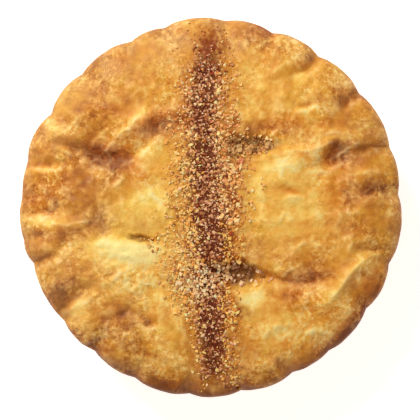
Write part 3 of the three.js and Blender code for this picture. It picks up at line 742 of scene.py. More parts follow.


# Browning and painted light

# Patches of the lid: x, y, half length, half width, direction in degrees, how much browner (paler, below 0).
# Besides real browning they hold painted light: painted shade in hollows, on the shaded sides of folds and
# under the vents' upper edges, and painted highlight on lit crests and swells
UPPER_LEFT_PATCHES = [
    (-33.4, 15.6, 7.5, 4, -25, 0.47), (-26, 15.6, 4, 2.8, 22, 0.2), (-15.6, 25.2, 7, 3.4, 16, 0.45),
    (-39, 7, 12, 10, 0, 0.19), (-33, 28, 12, 9, 20, 0.09), (-33, 45, 5, 3.5, 20, 0.2),
    (-15, 55, 6, 4, 0, 0.1), (-51, 11.8, 6, 1.2, 2, -0.22), (-46, 24, 5, 1.6, -20, -0.18),
    (-35, 11, 2.6, 1.6, 0, -0.3), (-22, 28.6, 3.4, 1.2, 40, -0.3), (-20, 17.6, 3, 1.2, 50, -0.25),
    (-16.5, 15, 5, 4.5, 0, -0.14), (-21, 2, 8, 5, 0, -0.24), (-20, 42, 11, 6, 0, -0.07),
    (-45, 16, 5, 4, 0, -0.08), (-46, 35, 5, 5, 0, -0.06),
]
UPPER_RIGHT_PATCHES = [
    (39, 16.6, 4.6, 3.8, 20, 0.3), (46, 16.4, 7.5, 4, 0, 0.23), (49, 6, 7.5, 3.4, 8, 0.24),
    (43, 35, 7, 4, 30, 0.17), (29, 45, 5, 3, 45, 0.1), (14, 24.6, 8, 2.4, 2, 0.4),
    (24.5, 4.8, 3, 1, -10, 0.2), (15, 55, 6, 3, 0, 0.16), (24, 25, 5, 4, 0, 0.07), (27, 39, 13, 8, 30, -0.13),
    (30, 42.6, 5, 1.6, 45, -0.18), (30, 30.6, 4, 1, 4, -0.3), (40, 22.2, 6, 1.2, 4, -0.2),
    (21, 13.4, 8, 3.6, 0, -0.15), (28, 2, 11, 8, -30, -0.2), (16, 4, 5, 5, 0, -0.08),
    (15, 42, 5, 7, 0, -0.11), (54, 15, 4, 5, 0, -0.13),
]
LOWER_LEFT_PATCHES = [
    (-46, -8.4, 10, 2, -2, 0.2), (-36, -4, 6, 4, 0, 0.28), (-46.4, -25.4, 6, 4, 20, 0.34),
    (-53, -16.2, 4, 2, 20, 0.19), (-25, -39, 8, 9, 0, 0.2), (-20, -36, 1.5, 0.9, -20, 0.25),
    (-19, -10.2, 3.5, 1, -10, 0.25), (-26, -12.2, 12, 2.9, -9, -0.4), (-24.5, -17, 7, 4.2, -14, -0.24),
    (-16, -12, 4, 5, 0, -0.09), (-52, -4.8, 7, 2.4, -2, -0.24), (-41, -30.6, 3.6, 1.6, 40, -0.25),
    (-18, -38.4, 3, 1.6, 0, -0.25), (-45, -36, 5, 4, 40, -0.16), (-15, -26, 6, 5, 0, -0.2),
    (-14.6, -41, 6, 8, 0, -0.11), (-55, -25, 4, 6, 0, -0.26), (-35, -25, 5, 4, 0, -0.11),
]
LOWER_RIGHT_PATCHES = [
    (29, -21.4, 7, 2, 0, 0.3), (31, -16.6, 12, 4, -10, 0.12), (50, -12.2, 6, 1.5, 0, 0.12),
    (48, -25, 6, 4, 40, 0.08), (43, -40, 9, 4, 42, 0.13), (22, -49, 3, 2, -20, 0.16),
    (28, -9.4, 4, 1, 15, 0.15), (46, -6, 5, 4, 0, 0.08), (15, -14, 5, 4, 0, 0.1), (25, -26, 5, 4, 0, 0.12),
    (2, -53, 9, 5, 0, 0.1), (13, -28, 5, 2.8, 4, -0.4), (22.6, -38.6, 10, 5.6, 0, -0.37),
    (34, -38.4, 5, 2, 0, -0.16), (45, -18.6, 6, 1.6, 45, -0.14), (38, -26.5, 5, 2.6, 30, -0.22),
    (53, -17.5, 7, 9, 0, -0.17), (28, -5, 8, 4.5, 0, -0.1),
]
PATCHES = UPPER_LEFT_PATCHES + UPPER_RIGHT_PATCHES + LOWER_LEFT_PATCHES + LOWER_RIGHT_PATCHES

# Where the crust has toasted more orange (or stayed more yellow, below 0), in the same form
TOASTED_PLACES = [
    (-17, 25.6, 9, 4, 14, 0.8), (22, -37, 14, 9, 0, 0.5), (24, -27, 8, 3, 0, 0.5), (27, 26, 8, 4, 0, 0.4),
    (38, 4, 10, 12, 0, 0.4), (46, -22, 8, 8, 0, 0.4), (-46, -8, 10, 2.4, 0, 0.4), (-23, 11, 5, 4, 0, 0.5),
    (-24, 21, 6, 3, 40, 0.3), (-34, 17, 7, 4, 0, 0.5), (-30, 32, 10, 5, 0, 0.2), (26, -8, 10, 8, 0, 0.2),
    (30, -21, 8, 3, 0, 0.3), (25, 12, 7, 4, 0, 0.55), (-22, -4, 12, 7, 0, -0.9),
    (-27, -12.8, 11, 3.4, -8, -0.5), (-18.5, -16.8, 8.5, 4.4, 0, 0.8), (-50, 4, 7, 6, 0, 0.4),
    (-36, -5, 8, 5, 0, -0.4), (-36, 45, 8, 5, 30, -0.2), (-25, -48, 14, 8, 0, -0.3),
    (-54, -26, 6, 8, 0, -0.3), (25, -55, 8, 4, 0, -0.3), (-25, 55, 6, 4, 0, -0.4), (-46, 35, 6, 6, 0, -0.4),
    (15, -5, 5, 5, 0, -0.3), (45, -15, 5, 4, 0, -0.3), (44, -38, 9, 5, 45, 0.35), (40, 15, 6, 4, 0, 0.3),
    (45, 35, 6, 5, 0, 0.3), (15, 55, 6, 3, 0, 0.3),
]

# Where it is dry and floury (or oily, below 0), in the same form
FLOURY_PLACES = [
    (-36, -20, 12, 16, 0, 0.06), (-12, 52, 6, 5, 0, 0.1), (9, 52, 5, 5, 0, 0.1), (-22, -5, 10, 4, 0, 0.1),
    (-22, -12.4, 4, 1.6, -9, 0.15), (-44, -15, 6, 5, 0, 0.07), (-36, -24, 6, 6, 0, 0.05),
    (-45, -36, 5, 5, 0, 0.07), (-45, 36, 5, 5, 0, 0.07), (50, 24, 8, 5, 0, 0.06), (25, 55, 6, 4, 0, 0.06),
    (-54, 5, 6, 7, 0, -0.1), (-36, 26, 7, 6, 0, -0.09), (15, 55, 6, 3, 0, -0.1), (22, 25, 8, 4, 0, -0.08),
    (-20, -55, 9, 4, 0, -0.08), (33, -15, 6, 5, 0, -0.05), (24, -35, 7, 5, 0, -0.04),
    (25, -55, 6, 4, 0, -0.05), (-45, 5, 5, 5, 0, -0.04), (-25, 15, 5, 4, 0, -0.05),
]

# How far parts of the pie are baked, from 0, pale, to 1, dark brown, with painted shade and painted highlight
# worked in
LID_BAKED = 0.47
SHOULDER_FURTHER = 0.14
SHOULDER_RADII = (20, 54)  # radii between which the shoulder sets in
EDGE_FURTHER = 0.05
EDGE_RADII = (56, 60)
# Painted shade: the rim's lower side, turned away from the light, is darkened
LOWER_EDGE_SHADE = 0.32
LOWER_EDGE_RADII = (52, 59)
LOWER_EDGE_SIDE = (0.25, -0.95)  # its direction in x and y
LOWER_EDGE_REACH = (-10, 50)  # distances in that direction between which it sets in
# Painted highlight: the lit left and top of the rim get cream, and a little browning under it to tone it down
LIT_RIM_DARKER = 0.06
LIT_RIM_RADII = (40, 57)
LIT_RIM_SIDE = (-0.7, 0.7)
LIT_RIM_REACH = (-5, 45)
CASE_BAKED = 0.72
WALL_TOP_LESS = 0.12
WALL_TOP_HEIGHTS = (14, WALL_HEIGHT)
BASE_FURTHER = 0.2
BASE_HEIGHTS = (0, 6)
PATCH_GAIN = 1.1
PATCH_DRIFT = [(1.1, 4, 61)], [(1.1, 4, 62)]
LID_BLOTCHES = 0.12
LID_BLOTCH_FIELD = (9, 63)  # size of the blotches, seed
LID_MOTTLING = [(0.13, 3.2, 64), (0.05, 1.4, 65)]
CASE_BLOTCHES = 0.24
CASE_BLOTCH_FIELD = (12, 66)
CASE_MOTTLING = [(0.12, 2, 67)]
# How much paler the raised forms are than what lies round them. For the wrinkles this is painted light:
# painted highlight on their crests and painted shade in their creases
PALER_FORMS = [(0.2, wrinkles), (0.18, torn_edges), (0.06, blisters), (0.06, flakes), (0.12, strokes)]

# Share of cream on the torn forms, dry, floury layers with painted highlight on lit crests; the painted
# highlight of cream on the lit rim; and the limits of the cream
CREAM_FORMS = [(0.85, cream_edges), (0.25, strokes), (0.2, torn_edges)]
LIT_RIM_HIGHLIGHT = 0.06
CREAM_LIMITS = (-0.3, 0.85)

# Share of orange in the browning
LID_ORANGE = 0.4
CASE_ORANGE_LESS = 0.4
ORANGE_MOTTLING = [(0.3, 7, 68), (0.2, 3, 69)]

# Heights between which the case gives way to the lid, and the rim to the lid's top
CASE_HEIGHTS = (WALL_HEIGHT - 1, WALL_HEIGHT + 4)
TOP_HEIGHTS = (RIM_FALL_HEIGHT - 4, RIM_FALL_HEIGHT)


def one_side(x, y, side, reach, radii):
    """1 far out on one side of the pie, falling to 0 towards the middle and the other side."""
    return smoothstep(np.hypot(x, y), *radii) * smoothstep(side[0] * x + side[1] * y, *reach)


def lit_rim(x, y):
    """1 on the lit left and top of the rim, falling to 0 away from it: where the rim's painted highlight
    lies.
    """
    return one_side(x, y, LIT_RIM_SIDE, LIT_RIM_REACH, LIT_RIM_RADII)


def on_case(points):
    """1 on the wall and the underside, 0 on the lid."""
    return 1 - smoothstep(points[:, 2], *CASE_HEIGHTS)


def on_top(points):
    """1 on the lid, falling to 0 where its rim turns down."""
    return smoothstep(points[:, 2], *TOP_HEIGHTS)


def browning_and_painted_light(points):
    """How far the pastry is baked at each point, from 0, pale, to 1, dark brown, with painted shade and
    highlight worked in.
    """
    x, y, height = points.T
    radius = np.hypot(x, y)
    plan = draped(points)
    lid = LID_BAKED + SHOULDER_FURTHER * smoothstep(radius, *SHOULDER_RADII)
    lid = lid + PATCH_GAIN * spots(*drifted(x, y, PATCH_DRIFT, plan), PATCHES)
    # Painted shade along the rim's lower side, away from the light
    lower_edge = one_side(x, y, LOWER_EDGE_SIDE, LOWER_EDGE_REACH, LOWER_EDGE_RADII)
    lid = lid + EDGE_FURTHER * smoothstep(radius, *EDGE_RADII) + LOWER_EDGE_SHADE * lower_edge
    lid = lid + LIT_RIM_DARKER * lit_rim(x, y)
    lid = lid + LID_BLOTCHES * layered_noise(plan, *LID_BLOTCH_FIELD) + mottling(plan, LID_MOTTLING)
    # Paler raised forms; for the wrinkles, painted highlight on crests and painted shade in creases
    lid = lid - on_top(points) * sum(share * form(x, y) for share, form in PALER_FORMS)
    case = CASE_BAKED + CASE_BLOTCHES * layered_noise(points, *CASE_BLOTCH_FIELD)
    case = case + mottling(points, CASE_MOTTLING)
    case = case - WALL_TOP_LESS * smoothstep(height, *WALL_TOP_HEIGHTS)
    case = case + BASE_FURTHER * (1 - smoothstep(height, *BASE_HEIGHTS))
    return np.clip(lerp(lid, case, on_case(points)), 0, 1)


def cream(points):
    """Share of cream in the colour: dry, floury on torn forms, with painted highlight on lit crests and the
    lit rim.
    """
    x, y = points.T[:2]
    torn = on_top(points) * sum(share * form(x, y) for share, form in CREAM_FORMS)
    return np.clip(torn + LIT_RIM_HIGHLIGHT * lit_rim(x, y) + spots(x, y, FLOURY_PLACES), *CREAM_LIMITS)


def toasted(points):
    """Share of orange in the browning, from 0, yellow, to 1."""
    orange = LID_ORANGE + spots(points[:, 0], points[:, 1], TOASTED_PLACES)
    orange = orange + mottling(draped(points), ORANGE_MOTTLING)
    return np.clip(orange - CASE_ORANGE_LESS * on_case(points), 0, 1)


# Seasoning stripe

# Middle line of the stripe's dark core, from its lower end to its upper one: x, y, half width
STRIPE_LINE = np.array([
    (1.5, -56, 3.0), (0.8, -44, 3.9), (0, -32, 4.2), (-0.2, -20, 5.8), (-0.3, -12, 6.4), (-0.4, -4, 6.2),
    (-1.2, 6, 5.3), (-2, 24, 4.4), (-1.8, 40, 4.0), (-0.6, 48, 3.6), (1.0, 57, 3.2),
])
# Left and right edges of the grains strewn beside the core: y, x on the left, x on the right
HALO_EDGES = np.array([
    (-57, -2, 7.5), (-45, -3.6, 6.4), (-35, -6, 7), (-28, -10, 7), (-22, -12, 5), (-15, -11.8, 6.5),
    (-10.4, -13.6, 8), (-6, -11.2, 8.3), (0, -10.8, 8.8), (8, -10.8, 8.8), (20, -9.4, 7.4), (30, -9, 5.2),
    (40, -7.5, 4), (48, -6, 3.6), (57, -4, 5),
])
HEAP = (-3.5, -22.5, 0, 11, 6, 0)  # of coarse grains on the stripe, in the form of a slit
HEAP_GRAINS = 12
CHIP_HEAP = (-2, -22, 0, 10.5, 6.4, 0)  # where its chips lie thickest
FILLED_SLIT = (11.6, 18.8, 4, 11.0, 4.2, 0.4)  # where chips fill the upper vent and spill over its lower edge

# Orange and red-brown stains beside the stripe: x, y, half length, half width, direction in degrees,
# strength.
# The one at (8, -16.5) is partly painted shade under the lower vent's upper edge
STAINS_AND_SHADE = [
    (-13.6, 27.2, 7, 3, 14, 0.5), (-33, 16, 6, 4, -30, 0.4), (14, 55, 6, 3, 0, 0.2), (6, 30, 3, 6, 0, 0.3),
    (1.2, 54, 3.4, 7, 0, 0.42), (0, 50, 2, 1.6, 20, 0.5), (8.6, -32.6, 3.4, 2.4, 0, 1.0),
    (7, 22, 3, 1.6, 0, 0.6), (10, 14.6, 1.5, 1, 0, 0.7), (4, -29, 3, 3, 0, 0.6), (8, -16.5, 6, 2, -12, 0.7),
    (7, 4, 3.2, 11, 0, 1.0), (8, -44, 3, 6, 0, 0.3), (-6, -40, 3, 10, 0, 0.35), (7, -56, 3, 2, 0, 0.6),
]
# Dark red-brown stains where the core runs into the lower vent and at its upper end, in the same form; the
# one by the lower vent is partly painted shade under the vent's upper edge
DARK_STAINS_AND_SHADE = [(6.5, -17.4, 4.5, 2.0, -20, 0.7), (-0.4, 50.6, 2.6, 2.0, 60, 0.4)]
STAINED_AND_SHADED_SLIT = (9.6, -20.7, -6, 6.4, 4.2, 0.4)  # the part of the lower vent that is stained, partly painted shade under its upper edge
# Slits and the heap that spice has stained, and how strongly; in the vents this is also painted shade under
# their overhanging upper edges
STAINED_AND_SHADED_SLITS = [(UPPER_SLIT, 0.6), (LEFT_SLIT, 0.55), (STAINED_AND_SHADED_SLIT, 0.76), (HEAP, 0.4)]
STAINED_REACH = (0.6, 1.1)  # shares of the way to a slit's edge between which its stain ends

# Where parts of the stripe end: y at the upper end, and the same below the middle at the lower end
STAIN_ENDS = (49, 53)
NEAR_OIL_ENDS = (50, 54)
OIL_ENDS = (57, 56)
CORE_ENDS = (51, 54)
HALO_ENDS = (48, 57)
DUST_ENDS = (57, 57)
BEFORE_END, PAST_END = 6, 2  # distances from an end between which a part fades

# Edges of the core and of the halo: the larger, the sharper
CORE_SHARPNESS = 5.0
OIL_SHARPNESS = 3.0
LEFT_SHARPNESS = 4.0
RIGHT_SHARPNESS = 3.0
UPPER_RIGHT_SHARPNESS = 2.4
UPPER_RIGHT_FROM = 18  # in y

# Random fields of the stripe: strength, size of the bumps, seed
HALO_DRIFT = [(1.8, 6, 79), (0.9, 2.4, 80)], []
CORE_DRIFT = [(1.0, 3, 71), (0.6, 1.2, 72)], []
STAIN_DRIFT = [(0.7, 2, 76)], [(0.7, 2, 77)]
OIL_DRIFT = [(1.5, 4, 74)], []
CORE_MOTTLING = [(0.3, 2.2, 73)]
OIL_SPECKLES = [(0.9, 1.6, 75), (0.5, 4, 78)]
CORE_STAIN = 0.93  # how strongly the core is stained, on average
NEAR_OIL = 0.9  # and how oily it is beside the core, under the halo (with painted shade), and in its speckles
NEAR_OIL_WIDTH = 1.5  # against the core's
HALO_OIL_AND_SHADE = 0.78
SPECKLED_OIL = 0.8


def stripe_offset(x, y):
    """Distance to the side of the stripe's middle line."""
    return x - np.interp(y, STRIPE_LINE[:, 1], STRIPE_LINE[:, 0])


def core_share(x, y, sharpness=2.0):
    """1 on the middle line of the stripe's core, falling to 0 past its edges."""
    half_width = np.interp(y, STRIPE_LINE[:, 1], STRIPE_LINE[:, 2])
    return np.exp(-((np.abs(stripe_offset(x, y)) / half_width) ** sharpness))


def halo_share(x, y):
    """1 on the stripe's middle line, falling to 0 past the edges of the grains strewn beside it."""
    ragged_x, _ = drifted(x, y, HALO_DRIFT)
    middle = np.interp(y, STRIPE_LINE[:, 1], STRIPE_LINE[:, 0])
    left, right = (np.interp(y, HALO_EDGES[:, 0], HALO_EDGES[:, side]) for side in (1, 2))
    edge = np.where(ragged_x < middle, left, right)
    reach = (ragged_x - middle) / (edge - middle)
    on_right = np.where(y > UPPER_RIGHT_FROM, UPPER_RIGHT_SHARPNESS, RIGHT_SHARPNESS)
    return np.exp(-(np.abs(reach) ** np.where(reach < 0, LEFT_SHARPNESS, on_right)))


def stripe_ends(y, upper, lower):
    """1 along the stripe, fading to 0 past its two ends."""
    fades = [smoothstep(far, end - BEFORE_END, end + PAST_END) for far, end in ((y, upper), (-y, lower))]
    return (1 - fades[0]) * (1 - fades[1])


def spice_stain_and_shade(x, y):
    """How strongly spice stains the stripe's core, vents and heap, with painted shade in the vents."""
    core = core_share(drifted(x, y, CORE_DRIFT)[0], y, CORE_SHARPNESS) * stripe_ends(y, *STAIN_ENDS)
    core = core * (CORE_STAIN + mottling(flat(x, y), CORE_MOTTLING))
    places = drifted(x, y, STAIN_DRIFT)
    in_vents = sum(
        share * (1 - smoothstep(slit_reach(slit, *places), *STAINED_REACH)) for slit, share in STAINED_AND_SHADED_SLITS
    )
    dark = np.maximum(in_vents, spots(*places, DARK_STAINS_AND_SHADE))
    return np.clip(np.maximum(core, dark), 0, 1)


def oil_and_shade(x, y):
    """Orange-brown paprika oil round the stripe, with painted shade among halo grains and by the lower vent.
    """
    wander_x, _ = drifted(x, y, OIL_DRIFT)
    near = core_share(wander_x / NEAR_OIL_WIDTH, y, OIL_SHARPNESS) * stripe_ends(y, *NEAR_OIL_ENDS)
    band = np.maximum(HALO_OIL_AND_SHADE * halo_share(wander_x, y), NEAR_OIL * near) * stripe_ends(y, *OIL_ENDS)
    speckled = SPECKLED_OIL + mottling(flat(x, y), OIL_SPECKLES)
    return np.clip((band + spots(x, y, STAINS_AND_SHADE)) * speckled, 0, 1)


# Materials

def colour(red, green, blue):
    """A colour as it looks on screen, from 0 to 255, as the linear values that shaders use."""
    channels = np.array([red, green, blue]) / 255
    linear = np.where(channels <= 0.04045, channels / 12.92, ((channels + 0.055) / 1.055) ** 2.4)
    return (*linear.tolist(), 1.0)


def colours(*values):
    return [colour(*value) for value in values]


# Shades of the pastry from pale to dark brown, and how far baked each is
BAKED_STOPS = (0.0, 0.2, 0.35, 0.5, 0.65, 0.8, 1.0)
YELLOW_SHADES = colours((255, 236, 152), (253, 213, 104), (239, 189, 79), (222, 162, 54), (202, 137, 46),
                        (178, 109, 36), (136, 76, 28))
ORANGE_SHADES = colours((255, 231, 152), (252, 202, 102), (241, 171, 72), (226, 144, 48), (206, 120, 36),
                        (176, 95, 32), (128, 60, 24))
CREAM_COLOUR = colour(254, 219, 152)
SPICE_STAIN_AND_SHADE_COLOUR = colour(98, 31, 2)
OIL_AND_SHADE_COLOUR = colour(154, 70, 12)
FLAKES_PALER = 0.16  # how much less baked the flecks of lifted flakes look
FLAKES_CREAM = 0.4  # share of cream in them where the pastry is palest
CRUST_ROUGHNESS = 0.5


class Nodes:
    """Short names for making a material's nodes and links."""

    def __init__(self, name):
        self.material = bpy.data.materials.new(name)
        self.material.use_nodes = True
        self.tree = self.material.node_tree
        self.shader = self.tree.nodes["Principled BSDF"]

    def shade(self, values):
        """Sets values of the shader by their names."""
        for name, value in values.items():
            self.shader.inputs[name].default_value = value

    def add(self, kind, **settings):
        node = self.tree.nodes.new(kind)
        for key, value in settings.items():
            setattr(node, key, value)
        return node

    def link(self, start, end):
        self.tree.links.new(start, end)

    def feed(self, socket, value):
        """Sets a socket to a number or a colour, or links it to another node's output."""
        if isinstance(value, (int, float, tuple)):
            socket.default_value = value
        else:
            self.link(value, socket)

    def field(self, name):
        return self.add("ShaderNodeAttribute", attribute_name=name).outputs["Fac"]

    def noise(self, coordinates, per_millimetre, detail=2.0):
        node = self.add("ShaderNodeTexNoise")
        node.inputs["Scale"].default_value = per_millimetre / METRES
        node.inputs["Detail"].default_value = detail
        self.link(coordinates, node.inputs["Vector"])
        return node.outputs["Fac"]

    def math(self, operation, first, second):
        node = self.add("ShaderNodeMath", operation=operation)
        for socket, value in zip(node.inputs, (first, second)):
            self.feed(socket, value)
        return node.outputs["Value"]

    def step(self, value, low, high):
        """0 where a field is below low, 1 where it is above high."""
        node = self.add("ShaderNodeMapRange", interpolation_type="SMOOTHSTEP")
        node.inputs["From Min"].default_value = low
        node.inputs["From Max"].default_value = high
        self.link(value, node.inputs["Value"])
        return node.outputs["Result"]

    def spread(self, value, amount):
        """A 0 to 1 field as a change of up to half of amount either way."""
        return self.math("MULTIPLY", self.math("SUBTRACT", value, 0.5), amount)

    def ramp(self, value, positions, shades):
        node = self.add("ShaderNodeValToRGB")
        elements = node.color_ramp.elements
        while len(elements) < len(positions):
            elements.new(0.5)
        for element, position, shade in zip(elements, positions, shades):
            element.position = position
            element.color = shade
        self.link(value, node.inputs["Fac"])
        return node.outputs["Color"]

    def mix(self, share, first, second):
        node = self.add("ShaderNodeMix", data_type="RGBA")
        self.link(share, node.inputs["Factor"])
        for socket, value in zip((node.inputs["A"], node.inputs["B"]), (first, second)):
            self.feed(socket, value)
        return node.outputs["Result"]


def crust_material():
    """Pastry from pale to brown by its browning, with flecks, cream flakes, oil and stains of spice; these
    carry painted light too.
    """
    nodes = Nodes("baked_crust")
    place = nodes.add("ShaderNodeTexCoord").outputs["Object"]

    def product(first, second):
        return nodes.math("MULTIPLY", first, second)

    def varied(per_millimetre, amount, detail=2.0):
        return nodes.spread(nodes.noise(place, per_millimetre, detail), amount)

    # The browning field holds painted shade and painted highlight as well as the baking
    baked_and_painted_light = nodes.math("ADD", nodes.field("browning_and_painted_light"), varied(per_millimetre=0.55, amount=0.2))
    flaked = nodes.step(nodes.noise(place, per_millimetre=0.7, detail=5.0), low=0.5, high=0.62)
    flaked = product(flaked, nodes.field("flaky"))
    baked_and_painted_light = nodes.math("SUBTRACT", baked_and_painted_light, product(flaked, FLAKES_PALER))
    fine_flecks = product(varied(per_millimetre=2.0, amount=0.75, detail=3.0), nodes.field("flaky"))
    baked_and_painted_light = nodes.math("ADD", baked_and_painted_light, fine_flecks)
    yellow, orange = (nodes.ramp(baked_and_painted_light, BAKED_STOPS, shades) for shades in (YELLOW_SHADES, ORANGE_SHADES))
    pastry = nodes.mix(nodes.field("toasted"), yellow, orange)
    paleness = nodes.math("SUBTRACT", 1.0, baked_and_painted_light)
    cream_flakes = product(product(flaked, paleness), FLAKES_CREAM)
    # Cream: floury layers, with painted highlight on lit crests and the lit rim
    pastry = nodes.mix(nodes.math("ADD", nodes.field("cream"), cream_flakes), pastry, CREAM_COLOUR)
    grainy = nodes.math("ADD", varied(per_millimetre=1.2, amount=1.0), 1.0)
    # Paprika oil, with painted shade between the grains and by the lower vent
    oiled_and_shaded = nodes.mix(product(grainy, nodes.field("oil_and_shade")), pastry, OIL_AND_SHADE_COLOUR)
    # Spice stain, with painted shade in the vents
    stained_and_shaded = nodes.mix(product(grainy, nodes.field("spice_stain_and_shade")), oiled_and_shaded, SPICE_STAIN_AND_SHADE_COLOUR)
    nodes.link(stained_and_shaded, nodes.shader.inputs["Base Color"])
    rough = nodes.math("ADD", varied(per_millimetre=0.8, amount=0.3), CRUST_ROUGHNESS)
    nodes.link(rough, nodes.shader.inputs["Roughness"])
    nodes.shade({
        "Specular IOR Level": 0.18,
        "Subsurface Weight": 0.15,
        "Subsurface Radius": (1.0, 0.5, 0.2),
        "Subsurface Scale": 0.0012,
    })
    bump = nodes.add("ShaderNodeBump")
    bump.inputs["Strength"].default_value = 0.7
    bump.inputs["Distance"].default_value = 0.0003
    nodes.link(nodes.noise(place, per_millimetre=1.0), bump.inputs["Height"])
    nodes.link(bump.outputs["Normal"], nodes.shader.inputs["Normal"])
    return nodes.material


def grain_material(name):
    """Grains take their colour from the mesh, one colour a grain, with a little mottling inside each."""
    nodes = Nodes(name)
    place = nodes.add("ShaderNodeTexCoord").outputs["Object"]
    shade = nodes.add("ShaderNodeAttribute", attribute_name="grain_colour").outputs["Color"]
    mottled = nodes.add("ShaderNodeHueSaturation")
    nodes.link(shade, mottled.inputs["Color"])
    specks = nodes.spread(nodes.noise(place, per_millimetre=2.5), amount=0.5)
    nodes.link(nodes.math("ADD", specks, 1.0), mottled.inputs["Value"])
    nodes.link(mottled.outputs["Color"], nodes.shader.inputs["Base Color"])
    nodes.shade({"Roughness": 0.6, "Specular IOR Level": 0.2})
    return nodes.material


# Crust

CASE_FLAKES_LESS = 0.5  # share of the flecks missing on the case
SPICED_HEIGHTS = (RIM_HEIGHT - 1, RIM_HEIGHT + 1)  # heights between which spice sets in


def make_crust():
    points, angle = lid_points()
    border = grid_border()
    case = case_points(angle[border])
    quads, fan = case_faces(border, len(points))
    points = case_relief(np.vstack([points, case]))
    crust = mesh_object("crust", points, grid_faces().tolist() + quads.tolist() + fan)
    x, y, height = points.T
    on_lid = smoothstep(height, *SPICED_HEIGHTS)
    fields = {
        "browning_and_painted_light": browning_and_painted_light(points),
        "cream": cream(points),
        "toasted": toasted(points),
        "flaky": flakiness(x, y) * (1 - CASE_FLAKES_LESS * on_case(points)),
        "spice_stain_and_shade": on_lid * spice_stain_and_shade(x, y),
        "oil_and_shade": on_lid * oil_and_shade(x, y),
    }
    for name, values in fields.items():
        set_field(crust, name, values)
    crust.data.materials.append(crust_material())
    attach(crust, "root")
    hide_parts("pie")


# Seasoning

STRIPE_LENGTH = 104.0
STRIPE_MIDDLE = 0.5
STRIPE_HALF_WIDTH = 10.0
STRIPE_NARROWING = 0.4
STRIPE_CROWDING = 0.65
STRIPE_GRAINS = 78
LARGE_RADIUS = 0.68
LARGE_SPREAD = 0.17
POOL_FILL = (0.85, 0.6)  # shares of a vent's length and width that large grains take up
GRAIN_LIFT = 0.35  # share of a grain's radius by which its middle stands clear of the lid


def spread(n, base):
    """The nth of a steady sequence of numbers from 0 to 1 that spreads evenly, one for each prime base."""
    value, share = 0.0, 1.0
    while n > 0:
        share /= base
        value += (n % base) * share
        n //= base
    return value


def both_ways(n, base):
    return 2 * spread(n, base) - 1


def large_places():
    """Places of the largest grains, which the plain solid has too: along the stripe and in the wide vents."""
    places = []
    for n in range(1, STRIPE_GRAINS + 1):
        along, side = both_ways(n, 2), both_ways(n, 3)
        crowded = side * lerp(1, abs(side), STRIPE_CROWDING)
        half_width = STRIPE_HALF_WIDTH * (1 - STRIPE_NARROWING * along ** 2)
        places.append((STRIPE_MIDDLE + half_width * crowded, STRIPE_LENGTH / 2 * along))
    pools = [(slit, grains) for slit, _, grains in VENTS] + [(HEAP, HEAP_GRAINS)]
    for pool, grains in pools:
        middle_x, middle_y, degrees, half_length = pool[:4]
        for n in range(1, grains + 1):
            along = POOL_FILL[0] * half_length * both_ways(n, 2)
            across = POOL_FILL[1] * half_width_at(pool, along) * both_ways(n, 3)
            right, up = along_and_across(along, across, -degrees)
            places.append((middle_x + right, middle_y + up))
    return np.array(places)


FINE_PER_MM2 = 8.4  # fine grains where they lie thickest
CHIPS_PER_MM2 = 2.4  # and coarse chips
CHIPS_SEED = 2024
FINE_SEED = 2025
STREWN_HALF_WIDTH = 20.0
STREWN_HALF_LENGTH = 58.0
CORE_COVER = 0.46
HALO_COVER = 0.8
DUST_COVER = 0.1
DUST_HALF_WIDTH = 8
DUST_SHARPNESS = 4
DUST_STARTS = (42, 48)  # in y
UPPER_SLIT_COVER = 0.25
LOWER_SLIT_LESS = 0.85  # share of the fine grains missing in the lower vent
# How thickly chips fill the upper vent, the heap and the lower vent
SLIT_CHIPS, HEAP_CHIPS, LOWER_CHIPS = 0.4, 0.78, 0.22
CLUMPS = [(0.7, 1.8, 81), (0.5, 5, 82)]
CLUMP_LIMITS = (0.2, 2)
POOL_DRIFT = [(1.5, 4, 83)], [(0.9, 3, 84)]
HEAP_DRIFT = [(2, 4, 85)], [(1.5, 3, 86)]
# Shares of the way to the edge between which the grains in a vent and on the heap thin out
POOL_REACH = (0.6, 1.05)
HEAP_REACH = (0.1, 1.2)
# Parts of the core with fewer grains: y, half length, share of them missing
BARE_PARTS = [(-8, 5, 0.35), (-42, 9, 0.58), (41, 6, 0.3)]


def in_pool(pool, x, y):
    """1 inside a vent, 0 outside its ragged edge."""
    return 1 - smoothstep(slit_reach(pool, *drifted(x, y, POOL_DRIFT)), *POOL_REACH)


def heap_share(x, y):
    """1 in the middle of the heap, thinning out to 0 past its ragged edge."""
    return 1 - smoothstep(slit_reach(CHIP_HEAP, *drifted(x, y, HEAP_DRIFT)), *HEAP_REACH)


def fine_density(x, y):
    """How thickly the fine grains lie, from 0 to 1."""
    bare = sum(missing * np.exp(-(((y - middle) / length) ** 2)) for middle, length, missing in BARE_PARTS)
    core_here = core_share(x, y, CORE_SHARPNESS)
    core = CORE_COVER * (1 - bare) * core_here * stripe_ends(y, *CORE_ENDS)
    halo = HALO_COVER * halo_share(x, y) * (1 - core_here) * stripe_ends(y, *HALO_ENDS)
    dust = DUST_COVER * np.exp(-((stripe_offset(x, y) / DUST_HALF_WIDTH) ** DUST_SHARPNESS))
    dust = dust * smoothstep(y, *DUST_STARTS) * stripe_ends(y, *DUST_ENDS)
    clumps = np.clip(1 + mottling(flat(x, y), CLUMPS), *CLUMP_LIMITS)
    strewn = (core + halo + dust) * clumps * (1 - LOWER_SLIT_LESS * in_pool(LOWER_SLIT, x, y))
    return np.clip(np.maximum(strewn, UPPER_SLIT_COVER * in_pool(UPPER_SLIT, x, y)), 0, 1)


def chip_density(x, y):
    """How thickly the coarse chips lie, from 0 to 1."""
    pools = np.maximum(SLIT_CHIPS * in_pool(FILLED_SLIT, x, y), HEAP_CHIPS * heap_share(x, y))
    return np.maximum(pools, LOWER_CHIPS * in_pool(LOWER_SLIT, x, y))


